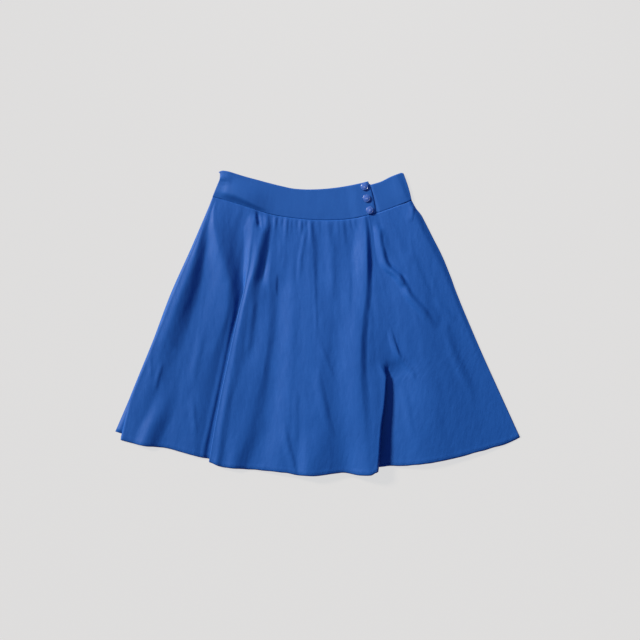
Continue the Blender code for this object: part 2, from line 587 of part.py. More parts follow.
def main():
    clear_scene()
    skirt = bpy.data.collections.new("a_line_skirt")
    bpy.context.scene.collection.children.link(skirt)
    skirt_back(material_of("back_cloth", CLOTH_COLOUR, 0.9), skirt)
    skirt_front(material_of("front_cloth", CLOTH_COLOUR, 0.9), skirt)
    band_back(material_of("back_band_cloth", CLOTH_COLOUR, 0.88), skirt)
    band_front(material_of("front_band_cloth", CLOTH_COLOUR, 0.88), skirt)
    band_underlap(material_of("underlap_cloth", CLOTH_COLOUR, 0.88), skirt)
    buttons(material_of("button_cover", BUTTON_COLOUR, 0.6), skirt)


main()
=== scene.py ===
import math

import bpy
import numpy as np
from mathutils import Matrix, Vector, noise


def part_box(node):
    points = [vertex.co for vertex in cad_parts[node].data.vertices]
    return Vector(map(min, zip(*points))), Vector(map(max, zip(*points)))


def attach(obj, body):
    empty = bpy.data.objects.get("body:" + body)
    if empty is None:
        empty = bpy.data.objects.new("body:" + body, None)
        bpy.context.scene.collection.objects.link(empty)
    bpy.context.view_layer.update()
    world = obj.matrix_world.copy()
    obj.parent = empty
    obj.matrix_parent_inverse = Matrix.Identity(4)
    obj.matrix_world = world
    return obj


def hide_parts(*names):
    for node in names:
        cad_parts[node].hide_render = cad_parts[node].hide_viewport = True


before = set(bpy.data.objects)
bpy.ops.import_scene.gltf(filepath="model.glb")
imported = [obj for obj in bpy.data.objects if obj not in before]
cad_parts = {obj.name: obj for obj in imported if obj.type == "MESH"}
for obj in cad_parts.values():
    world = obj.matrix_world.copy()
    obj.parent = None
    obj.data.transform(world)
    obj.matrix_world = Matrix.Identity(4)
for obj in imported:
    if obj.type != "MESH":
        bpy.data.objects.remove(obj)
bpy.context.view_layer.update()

# Back panel.
# One layer of royal-blue plain-weave cotton and viscose, cut as part of a ring and sewn to the front
# at the sides. It is the layer that lies on the surface, and its corner shows at the lower left.

MM = 0.001
APEX_X = -17.9
APEX_Y = 651.65
CAD_CLOTH = 1.2
CAD_GAP = 0.3
CLOTH = 0.9
SEAM_ROOM = 0.04
SETTLE_STEPS = 4

# The band's seam and the back's free edges. Columns: angle in degrees from straight down, radius
# in millimetres from the point where the side seams would meet; for a side, radius then angle.
SEAM = [
    (-23.0, 453.2), (-19.9, 451.0), (-16.9, 450.2), (-13.4, 451.5), (-8.5, 455.4), (-1.3, 459.1),
    (5.3, 463.0), (10.9, 465.6), (15.7, 465.6), (20.9, 464.9), (24.4, 465.3)]
HEM_BACK = [
    (-22.7, 923.3), (-22.0, 922.6), (-20.0, 917.0), (-16.0, 911.0), (-11.0, 911.0), (0.0, 920.0),
    (9.0, 918.0), (15.0, 929.0), (24.3, 940.0)]
BACK_LEFT = [
    (450, -22.75), (550, -22.7), (640, -22.85), (750, -22.6), (850, -22.65), (923.3, -22.7)]
BACK_RIGHT = [
    (465, 24.2), (480, 24.3), (500, 24.8), (550, 25.0), (580, 25.1), (625, 24.9), (650, 24.7),
    (700, 24.5), (800, 24.35), (948, 24.35)]
BACK_SEAM_STEP = 1.5


def through(rows, x, column=1):
    """Smooth values through a table's rows, by its first column, that never overshoot a row."""
    table = np.array(rows, dtype=float)
    xs = table[:, 0]
    ys = table[:, column]
    steps = np.diff(ys) / np.diff(xs)
    products = steps[:-1] * steps[1:]
    sums = np.where(products > 0.0, steps[:-1] + steps[1:], 1.0)
    inner = np.where(products > 0.0, 2.0 * products / sums, 0.0)
    slopes = np.concatenate([steps[:1], inner, steps[-1:]])
    x = np.clip(x, xs[0], xs[-1])
    i = np.clip(np.searchsorted(xs, x) - 1, 0, len(xs) - 2)
    width = xs[i + 1] - xs[i]
    t = (x - xs[i]) / width
    start = ys[i] * (1.0 + 2.0 * t) * (1.0 - t) ** 2 + slopes[i] * width * t * (1.0 - t) ** 2
    end = ys[i + 1] * t * t * (3.0 - 2.0 * t) + slopes[i + 1] * width * t * t * (t - 1.0)
    return start + end


def smooth(t):
    """An even rise from 0 to 1."""
    t = np.clip(t, 0.0, 1.0)
    return t * t * (3.0 - 2.0 * t)


def mix(a, b, t):
    """The value a share t of the way from a to b."""
    return a + (b - a) * t


def bump(x):
    """A soft ridge, 1 on its line and 0 from one half width on."""
    return np.cos(np.clip(x, -1.0, 1.0) * math.pi / 2.0) ** 2


def place(radius, angle, height):
    """Polar places in millimetres and degrees to X, Y, Z in metres."""
    turn = np.radians(angle)
    x = APEX_X + radius * np.sin(turn)
    y = APEX_Y - radius * np.cos(turn)
    return np.stack([x, y, height + 0.0 * x], axis=-1) * MM


def put_in_scene(name, data):
    """An object at the origin for a mesh, curve, light or camera."""
    thing = bpy.data.objects.new(name, data)
    bpy.context.scene.collection.objects.link(thing)
    return thing


def evaluated_mesh(thing):
    """A mesh of what an object's modifiers make of it."""
    graph = bpy.context.evaluated_depsgraph_get()
    return bpy.data.meshes.new_from_object(thing.evaluated_get(graph))


def cloth_piece(name, points, thickness, material):
    """A sheet of cloth through a grid of points, rows down and columns across, with its wall.

    Its UV map is the cloth's own: metres along the weave from the middle of the top edge."""
    rows, columns, _ = points.shape
    steps_across = np.linalg.norm(np.diff(points, axis=1), axis=2)
    across = np.concatenate([np.zeros((rows, 1)), np.cumsum(steps_across, axis=1)], axis=1)
    across -= across[:, columns // 2][:, None]
    steps_down = np.linalg.norm(np.diff(points, axis=0), axis=2)
    down = np.concatenate([np.zeros((1, columns)), np.cumsum(steps_down, axis=0)], axis=0)
    uv = np.stack([across, -down], axis=-1).reshape(-1, 2)
    faces = []
    for row in range(rows - 1):
        for column in range(columns - 1):
            a = row * columns + column
            faces.append((a, a + columns, a + columns + 1, a + 1))
    mesh = bpy.data.meshes.new(name)
    mesh.from_pydata(points.reshape(-1, 3).tolist(), [], faces)
    layer = mesh.uv_layers.new(name="cut")
    corners = np.zeros(len(mesh.loops), dtype=np.int32)
    mesh.loops.foreach_get("vertex_index", corners)
    layer.data.foreach_set("uv", uv[corners].astype(np.float32).ravel())
    mesh.shade_smooth()
    mesh.materials.append(material)
    piece = put_in_scene(name, mesh)
    wall = piece.modifiers.new("wall", "SOLIDIFY")
    wall.thickness = thickness * MM
    wall.offset = 0.0
    wall.use_even_offset = True
    wall.use_quality_normals = True
    mesh = evaluated_mesh(piece)
    mesh.name = name
    piece.modifiers.clear()
    piece.data = mesh
    return piece


def set_inputs(node, **values):
    """Values for a node's own sockets, each named with _ for a space."""
    for name, value in values.items():
        node.inputs[name.replace("_", " ")].default_value = value


def add_node(tree, kind, **values):
    """A new node with its settings, or else the values of its sockets."""
    node = tree.nodes.new(kind)
    for name, value in values.items():
        if hasattr(node, name):
            setattr(node, name, value)
        else:
            set_inputs(node, **{name: value})
    return node


def calculate(tree, operation, first, second=0.0):
    """Output of a math node on two values or sockets."""
    node = add_node(tree, "ShaderNodeMath", operation=operation)
    for socket, value in zip(node.inputs, (first, second)):
        if isinstance(value, (int, float)):
            socket.default_value = value
        else:
            tree.links.new(value, socket)
    return node.outputs[0]


def stretched_noise(tree, vector, scales, detail):
    """Noise on the cloth's own map, with its own scale along each thread direction."""
    place_on = add_node(tree, "ShaderNodeVectorMath", operation="MULTIPLY")
    tree.links.new(vector, place_on.inputs[0])
    place_on.inputs[1].default_value = (*scales, 1.0)
    texture = add_node(tree, "ShaderNodeTexNoise", Scale=1.0, Detail=detail)
    tree.links.new(place_on.outputs[0], texture.inputs["Vector"])
    return texture.outputs["Fac"]


def new_group(name, kind, inputs, outputs):
    """A node group with its sockets, as (name, kind), and its two end nodes."""
    group = bpy.data.node_groups.new(name, kind)
    for in_out, sockets in (("INPUT", inputs), ("OUTPUT", outputs)):
        for label, socket in sockets:
            group.interface.new_socket(label, in_out=in_out, socket_type="NodeSocket" + socket)
    return group, group.nodes.new("NodeGroupInput"), group.nodes.new("NodeGroupOutput")


# Sizes of the yarns' and patches' noise, as waves in a metre across and along.
WARP_WAVES = (1400.0, 30.0)
WEFT_WAVES = (30.0, 1400.0)
PATCH_WAVES = (62.0, 24.0)
GRAIN_WAVES = (260.0, 200.0)
CRUMPLE_WAVES = (110.0, 45.0)
PATCH_SHARE = 0.6


def woven_group():
    """Plain weave: a height for the crossing threads and a tone for thick and thin yarns."""
    group, start, end = new_group(
        "plain weave", "ShaderNodeTree", [("Cut", "Vector"), ("Threads per metre", "Float")],
        [("Height", "Float"), ("Tone", "Float")])
    parts = add_node(group, "ShaderNodeSeparateXYZ")
    group.links.new(start.outputs["Cut"], parts.inputs[0])
    waves = []
    for axis in (0, 1):
        threads = start.outputs["Threads per metre"]
        counted = calculate(group, "MULTIPLY", parts.outputs[axis], threads)
        turned = calculate(group, "MULTIPLY", counted, math.pi)
        waves.append(calculate(group, "SINE", turned))
    crossing = calculate(group, "MULTIPLY", waves[0], waves[1])
    group.links.new(calculate(group, "MULTIPLY_ADD", crossing, 0.5), end.inputs["Height"])
    warp = stretched_noise(group, start.outputs["Cut"], WARP_WAVES, 2.0)
    weft = stretched_noise(group, start.outputs["Cut"], WEFT_WAVES, 2.0)
    both = calculate(group, "ADD", warp, weft)
    group.links.new(calculate(group, "MULTIPLY", both, 0.5), end.inputs["Tone"])
    return group


def mottled_group():
    """Unevenness of washed cloth: a tone for soft patches and a height for its fine crumple."""
    group, start, end = new_group(
        "washed cloth", "ShaderNodeTree", [("Cut", "Vector")],
        [("Tone", "Float"), ("Height", "Float")])
    patches = stretched_noise(group, start.outputs["Cut"], PATCH_WAVES, 3.0)
    grain = stretched_noise(group, start.outputs["Cut"], GRAIN_WAVES, 2.0)
    slow = calculate(group, "MULTIPLY", patches, PATCH_SHARE)
    fine = calculate(group, "MULTIPLY", grain, 1.0 - PATCH_SHARE)
    group.links.new(calculate(group, "ADD", slow, fine), end.inputs["Tone"])
    crumple = stretched_noise(group, start.outputs["Cut"], CRUMPLE_WAVES, 3.0)
    group.links.new(crumple, end.inputs["Height"])
    return group


WOVEN = woven_group()
MOTTLED = mottled_group()
THREADS_PER_METRE = 1900.0
TONE_LOW = 0.7
TONE_HIGH = 1.3
WEAVE_STRENGTH = 0.5
WEAVE_DEPTH = 0.08
CLOTH_SHEEN = (0.35, 0.5, 1.0, 1.0)


def new_material(name):
    """A material, its tree and its shader."""
    material = bpy.data.materials.new(name)
    material.use_nodes = True
    return material, material.node_tree, material.node_tree.nodes["Principled BSDF"]


def colour_between(tree, tone, deep, light):
    """A colour that runs from deep to light as a tone runs from 0 to 1."""
    colour = add_node(tree, "ShaderNodeMix", data_type="RGBA")
    colour.inputs[6].default_value = deep
    colour.inputs[7].default_value = light
    tree.links.new(tone, colour.inputs["Factor"])
    return colour.outputs[2]


def cloth_material(name, deep, light, crumple_depth):
    """Dyed plain weave: its colour runs from deep to light with the yarns and the soft patches."""
    material, tree, shader = new_material(name)
    cut = add_node(tree, "ShaderNodeUVMap", uv_map="cut")
    woven = add_node(tree, "ShaderNodeGroup", node_tree=WOVEN, Threads_per_metre=THREADS_PER_METRE)
    mottled = add_node(tree, "ShaderNodeGroup", node_tree=MOTTLED)
    tree.links.new(cut.outputs["UV"], woven.inputs["Cut"])
    tree.links.new(cut.outputs["UV"], mottled.inputs["Cut"])
    tone = calculate(tree, "ADD", woven.outputs["Tone"], mottled.outputs["Tone"])
    spread = add_node(tree, "ShaderNodeMapRange", From_Min=TONE_LOW, From_Max=TONE_HIGH)
    tree.links.new(tone, spread.inputs["Value"])
    colour = colour_between(tree, spread.outputs["Result"], deep, light)
    tree.links.new(colour, shader.inputs["Base Color"])
    rough = add_node(tree, "ShaderNodeMapRange", To_Min=0.52, To_Max=0.62)
    tree.links.new(woven.outputs["Height"], rough.inputs["Value"])
    tree.links.new(rough.outputs["Result"], shader.inputs["Roughness"])
    crumple = add_node(tree, "ShaderNodeBump", Strength=1.0, Distance=crumple_depth * MM)
    tree.links.new(mottled.outputs["Height"], crumple.inputs["Height"])
    weave = add_node(tree, "ShaderNodeBump", Strength=WEAVE_STRENGTH, Distance=WEAVE_DEPTH * MM)
    tree.links.new(woven.outputs["Height"], weave.inputs["Height"])
    tree.links.new(crumple.outputs["Normal"], weave.inputs["Normal"])
    tree.links.new(weave.outputs["Normal"], shader.inputs["Normal"])
    set_inputs(
        shader, Specular_IOR_Level=0.22, Sheen_Weight=0.04, Sheen_Roughness=0.45,
        Sheen_Tint=CLOTH_SHEEN)
    return material


PANEL_DEEP = (0.0062, 0.075, 0.345, 1.0)
PANEL_LIGHT = (0.0095, 0.091, 0.395, 1.0)
panel_cloth = cloth_material("panel_cloth", PANEL_DEEP, PANEL_LIGHT, crumple_depth=0.55)


def flat_cloth(name, left, right, top, bottom, columns, rows, thickness, material):
    """A sheet that lies flat, between its sides (angle by radius) and ends (radius by angle)."""
    lines = []
    across = np.linspace(0.0, 1.0, columns + 1)
    for share in np.linspace(0.0, 1.0, rows + 1):
        radius = mix(top(0.0), bottom(0.0), share) + 0.0 * across
        for _ in range(SETTLE_STEPS):
            angle = mix(left(radius), right(radius), across)
            radius = mix(top(angle), bottom(angle), share)
        lines.append(place(radius, angle, thickness / 2.0))
    return cloth_piece(name, np.array(lines), thickness, material)


back = flat_cloth(
    "back_panel",
    lambda radius: through(BACK_LEFT, radius),
    lambda radius: through(BACK_RIGHT, radius),
    lambda angle: through(SEAM, angle) - BACK_SEAM_STEP + SEAM_ROOM,
    lambda angle: through(HEM_BACK, angle),
    columns=90, rows=60, thickness=CAD_CLOTH, material=panel_cloth)
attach(back, "root")
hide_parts("skirt_back")

# Back waistband.
# A shaped strip cut double and stiffened inside, sewn to the back panel's top edge with the seam
# pressed up into it. It lies flat on the surface behind the front band.

BAND_CLOTH = 1.6
BAND_TOP = [
    (-23.9, 406.0), (-22.9, 401.6), (-20.9, 398.9), (-17.5, 398.1), (-14.1, 397.9), (-10.7, 399.0),
    (-6.9, 401.4), (-3.3, 404.0), (0.7, 404.6), (8.2, 404.5), (15.9, 405.1)]
UNDERLAP_TOP = [
    (12.0, 412.0), (16.4, 412.5), (18.7, 412.8), (22.1, 410.6), (24.6, 411.4), (25.3, 414.7)]
BAND_LEFT = [(401.6, -23.1), (406, -23.9), (412, -23.2), (420, -22.9), (453.2, -22.9)]
UNDERLAP_RIGHT = [(411, 25.0), (414.7, 25.2), (430, 25.05), (450, 24.7), (465.3, 24.3)]
BACK_INSET = 0.12

BAND_DEEP = (0.0075, 0.079, 0.350, 1.0)
BAND_LIGHT = (0.0110, 0.095, 0.395, 1.0)
band_cloth = cloth_material("band_cloth", BAND_DEEP, BAND_LIGHT, crumple_depth=0.25)

back_band = flat_cloth(
    "back_band",
    lambda radius: through(BAND_LEFT, radius) + 2.0 * BACK_INSET,
    lambda radius: through(UNDERLAP_RIGHT, radius) - BACK_INSET,
    lambda angle: through(BAND_TOP + UNDERLAP_TOP[1:], angle) + BACK_SEAM_STEP,
    lambda angle: through(SEAM, angle) - BACK_SEAM_STEP - SEAM_ROOM,
    columns=90, rows=14, thickness=BAND_CLOTH, material=band_cloth)
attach(back_band, "root")
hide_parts("band_back")

# Front panel.
# The same cut as the back with more width at the top, drawn up in gathers into the band. It lies on
# the back with two deep folds doubled under, long soft folds between them and a narrow stitched hem.

HEM_LEFT = [
    (-21.75, 933.5), (-20.5, 931.8), (-19.3, 929.7), (-17.7, 924.2), (-16.5, 920.6), (-15.3, 919.8),
    (-12.6, 921.1), (-11.6, 920.2)]
HEM_MIDDLE = [
    (-11.3, 926.5), (-9.5, 930.5), (-7.0, 928.2), (-5.5, 927.2), (-2.6, 928.5), (-1.1, 932.0),
    (0.8, 933.2), (3.8, 929.3), (6.1, 937.2), (7.1, 938.7), (7.7, 935.5)]
HEM_RIGHT = [
    (8.1, 927.0), (9.1, 927.2), (10.5, 931.1), (12.0, 934.1), (14.0, 937.4), (17.8, 941.7),
    (20.8, 945.0), (23.2, 948.3), (24.45, 947.2)]

# Lines down the panel, from the left side to the right: its edges, crests and valleys. Between two
# of them the cloth rises or falls in one smooth wave. Columns: radius, angle, lift.
LEFT_EDGE = [
    (453, -22.85, 0.4), (475, -22.75, 0.0), (550, -22.8, 0.0), (640, -23.0, 0.0), (750, -22.7, 0.0),
    (850, -22.65, 0.0), (880, -22.3, 0.0), (915, -22.0, 0.0), (935, -21.75, 0.3)]
LEFT_RIM = [
    (453, -22.65, 1.0), (475, -22.55, 2.2), (500, -22.5, 3.8), (550, -22.45, 7.6),
    (600, -22.6, 10.8), (650, -22.6, 10.6), (700, -22.5, 7.6), (760, -22.5, 5.2),
    (850, -22.45, 3.2), (935, -21.6, 2.6)]
LEFT_SHOULDER = [
    (453, -22.4, 1.1), (475, -22.35, 2.6), (500, -22.2, 4.4), (525, -22.0, 6.6), (550, -21.7, 9.4),
    (600, -21.4, 13.0), (650, -21.3, 13.2), (700, -21.2, 10.2), (760, -21.2, 6.2),
    (850, -21.0, 4.4), (935, -20.6, 3.6)]
LEFT_VALLEY = [
    (453, -22.1, 1.1), (475, -22.0, 2.8), (500, -21.6, 4.4), (525, -20.8, 4.8), (550, -19.9, 3.8),
    (600, -18.8, 2.8), (650, -18.4, 2.8), (700, -18.4, 3.4), (760, -18.3, 3.2), (850, -17.5, 2.2),
    (935, -16.9, 1.2)]
LEFT_CREST = [
    (453, -21.8, 1.1), (475, -21.3, 4.0), (500, -20.2, 8.0), (525, -18.6, 9.8), (550, -16.8, 11.0),
    (575, -15.3, 11.2), (600, -14.3, 10.2), (650, -13.5, 6.6), (700, -13.9, 5.2), (760, -14.4, 4.6),
    (800, -14.5, 4.2), (860, -14.0, 4.0), (900, -13.6, 4.2), (935, -13.4, 4.2)]
LEFT_FOOT = [
    (453, -13.6, 1.0), (462, -13.8, 1.0), (475, -14.1, 0.9), (490, -14.1, 0.8), (500, -13.8, 0.7),
    (525, -13.1, 0.6), (550, -12.6, 0.5), (575, -12.2, 0.4), (640, -11.8, 0.2), (935, -11.8, 0.3)]
LEFT_TOP = [
    (453, -12.5, 1.2), (462, -12.3, 2.2), (475, -12.0, 5.0), (500, -11.7, 6.0), (525, -11.5, 6.0),
    (560, -11.2, 6.0), (600, -11.2, 6.0), (650, -11.2, 5.8), (700, -11.2, 5.6), (800, -11.2, 5.4),
    (935, -11.1, 5.0)]
LEFT_BROW = [
    (453, -10.2, 1.1), (462, -9.8, 1.9), (475, -9.6, 3.8), (500, -10.0, 6.8), (525, -10.1, 8.2),
    (560, -10.2, 9.0), (580, -10.4, 9.0), (600, -10.6, 8.4), (650, -10.7, 7.8), (700, -10.7, 7.6),
    (760, -10.7, 7.4), (800, -10.7, 7.2), (935, -10.5, 6.8)]
HOLLOW = [
    (453, -8.8, 0.9), (462, -8.4, 0.6), (475, -8.0, 0.5), (500, -7.9, 0.4), (525, -8.0, 0.3),
    (555, -8.2, 0.3), (575, -8.3, 0.6), (590, -8.3, 2.6), (610, -8.3, 3.8), (650, -8.2, 3.6),
    (700, -8.3, 4.4), (760, -9.4, 5.8), (800, -9.8, 5.8), (850, -9.8, 5.6), (935, -9.8, 4.8)]
LEFT_RISE = [
    (453, -7.4, 1.0), (500, -7.1, 1.0), (540, -7.1, 1.6), (562, -7.1, 2.6), (580, -7.1, 3.0),
    (604, -6.8, 3.4), (650, -6.4, 5.2), (700, -6.3, 6.0), (760, -6.6, 6.4), (800, -7.2, 6.4),
    (850, -7.7, 6.8), (900, -8.3, 6.9), (935, -8.7, 7.0)]
LEFT_SAG = [
    (453, -6.4, 1.0), (500, -6.0, 1.2), (540, -5.8, 1.8), (562, -5.6, 1.8), (575, -5.5, 1.2),
    (590, -5.4, 1.0), (610, -5.3, 2.0), (650, -5.2, 3.6), (700, -5.2, 4.0), (760, -5.3, 3.8),
    (800, -5.4, 3.4), (850, -5.5, 3.0), (900, -6.4, 2.6), (935, -7.0, 2.2)]
MIDDLE_CREST = [
    (455, -4.0, 1.0), (550, -2.8, 2.6), (604, -2.2, 5.2), (700, -2.0, 9.0), (760, -2.1, 9.6),
    (800, -2.2, 9.6), (850, -2.3, 9.2), (935, -2.5, 8.2)]
MIDDLE_RIDGE = [
    (460, 1.4, 1.0), (550, 1.2, 2.6), (604, 1.4, 6.4), (700, 1.6, 12.0), (760, 1.8, 13.6),
    (800, 2.0, 14.0), (850, 2.0, 13.2), (935, 1.2, 11.0)]
MIDDLE_VALLEY = [
    (460, 9.6, 1.0), (500, 9.2, 1.1), (550, 7.8, 2.4), (604, 6.4, 5.2), (650, 5.3, 7.8),
    (700, 4.2, 9.8), (760, 3.7, 11.2), (800, 3.8, 11.6), (850, 3.9, 11.0), (900, 4.0, 9.2),
    (935, 4.0, 8.0)]
RIGHT_CREST = [
    (460, 13.0, 1.9), (475, 12.8, 3.2), (500, 12.3, 5.4), (550, 11.3, 8.4), (600, 10.2, 9.8),
    (650, 8.8, 12.4), (700, 7.9, 14.8), (750, 7.3, 16.2), (800, 7.1, 17.4), (830, 7.1, 17.6),
    (870, 7.1, 17.6), (935, 7.0, 17.8)]
RIGHT_DIP = [
    (460, 13.8, 1.8), (500, 13.4, 1.8), (550, 12.4, 2.0), (600, 11.5, 5.4), (650, 10.1, 8.6),
    (700, 9.1, 10.6), (750, 8.5, 12.6), (800, 8.3, 15.2), (830, 8.1, 16.4), (870, 7.8, 17.2),
    (935, 7.4, 18.0)]
RIGHT_TOP = [
    (460, 14.0, 1.8), (500, 13.6, 1.8), (550, 12.7, 2.0), (600, 11.8, 5.4), (650, 10.9, 8.2),
    (700, 10.2, 9.6), (735, 10.0, 10.0), (750, 10.2, 10.8), (765, 10.4, 12.0), (800, 10.0, 14.0),
    (850, 9.0, 16.4), (890, 8.4, 17.3), (935, 7.9, 18.1)]
RIGHT_FOOT = [
    (460, 14.3, 1.2), (500, 13.9, 1.8), (550, 13.1, 2.2), (600, 12.6, 5.2), (650, 12.2, 7.8),
    (700, 12.2, 8.2), (735, 12.1, 7.2), (750, 12.0, 4.2), (765, 12.0, 2.0), (800, 11.6, 0.4),
    (935, 8.8, 0.2)]
RIGHT_PLAIN = [
    (460, 19.5, 1.1), (600, 18.8, 5.6), (700, 17.2, 8.6), (850, 15.4, 9.6), (935, 14.4, 8.0)]
RIGHT_RIM = [
    (460, 23.3, 1.1), (480, 23.4, 2.6), (500, 23.4, 3.8), (550, 23.6, 3.8), (600, 23.9, 2.6),
    (700, 23.8, 1.6), (850, 23.6, 0.9), (935, 23.5, 0.8)]
RIGHT_EDGE = [
    (465, 24.3, 0.4), (480, 24.4, 0.0), (500, 24.9, 0.0), (550, 25.1, 0.0), (580, 25.2, 0.0),
    (625, 25.0, 0.0), (650, 24.8, 0.0), (700, 24.6, 0.0), (800, 24.45, 0.0), (948, 24.45, 0.2)]

# The two deep folds. Above its start a fold is only a smooth rise from its foot to its top, and from
# its full radius on the cloth doubles back under a round nose. Columns of a nose: radius, angle.
LEFT_NOSE = [
    (560, -11.2), (600, -11.3), (650, -11.5), (700, -11.55), (800, -11.6), (875, -11.5),
    (935, -11.35)]
RIGHT_NOSE = [
    (725, 10.1), (738, 10.3), (750, 10.85), (762, 10.95), (775, 10.7), (800, 10.25), (825, 9.75),
    (850, 9.2), (875, 8.8), (900, 8.45), (935, 7.95)]
LEFT_FOLD = {
    "foot": LEFT_FOOT, "top": LEFT_TOP, "nose": LEFT_NOSE,
    "start": 560.0, "full": 640.0, "facing": -1}
RIGHT_FOLD = {
    "foot": RIGHT_FOOT, "top": RIGHT_TOP, "nose": RIGHT_NOSE,
    "start": 730.0, "full": 780.0, "facing": 1}

# A fold's section is two round bends, each a share of its height, with a straight run between them.
BEND_SHARE = 0.22
BEND_TURN = math.radians(165.0)
BEND_STRAIGHT = (1.0 - 2.0 * BEND_SHARE * (1.0 - math.cos(BEND_TURN))) / math.sin(BEND_TURN)
BEND_OVERLAP = -BEND_STRAIGHT * math.cos(BEND_TURN) - 2.0 * BEND_SHARE * math.sin(BEND_TURN)
BEND_REACH = BEND_OVERLAP + BEND_SHARE
BEND_PART = 5.0 / 11.0

# Stretches across the panel: which part, the two lines or the fold, and the columns.
STRETCHES = [
    ("left", LEFT_EDGE, LEFT_RIM, 6),
    ("left", LEFT_RIM, LEFT_SHOULDER, 6),
    ("left", LEFT_SHOULDER, LEFT_VALLEY, 22),
    ("left", LEFT_VALLEY, LEFT_CREST, 28),
    ("left", LEFT_CREST, LEFT_FOLD, 22),
    ("left fold", LEFT_FOLD, None, 22),
    ("middle", LEFT_FOLD, LEFT_BROW, 12),
    ("middle", LEFT_BROW, HOLLOW, 12),
    ("middle", HOLLOW, LEFT_RISE, 12),
    ("middle", LEFT_RISE, LEFT_SAG, 12),
    ("middle", LEFT_SAG, MIDDLE_CREST, 20),
    ("middle", MIDDLE_CREST, MIDDLE_RIDGE, 28),
    ("middle", MIDDLE_RIDGE, MIDDLE_VALLEY, 26),
    ("middle", MIDDLE_VALLEY, RIGHT_CREST, 26),
    ("middle", RIGHT_CREST, RIGHT_DIP, 14),
    ("middle", RIGHT_DIP, RIGHT_FOLD, 10),
    ("right fold", RIGHT_FOLD, None, 20),
    ("right", RIGHT_FOLD, RIGHT_PLAIN, 56),
    ("right", RIGHT_PLAIN, RIGHT_RIM, 32),
    ("right", RIGHT_RIM, RIGHT_EDGE, 8)]
ROWS = 125
ROW_CROWDING = 0.055

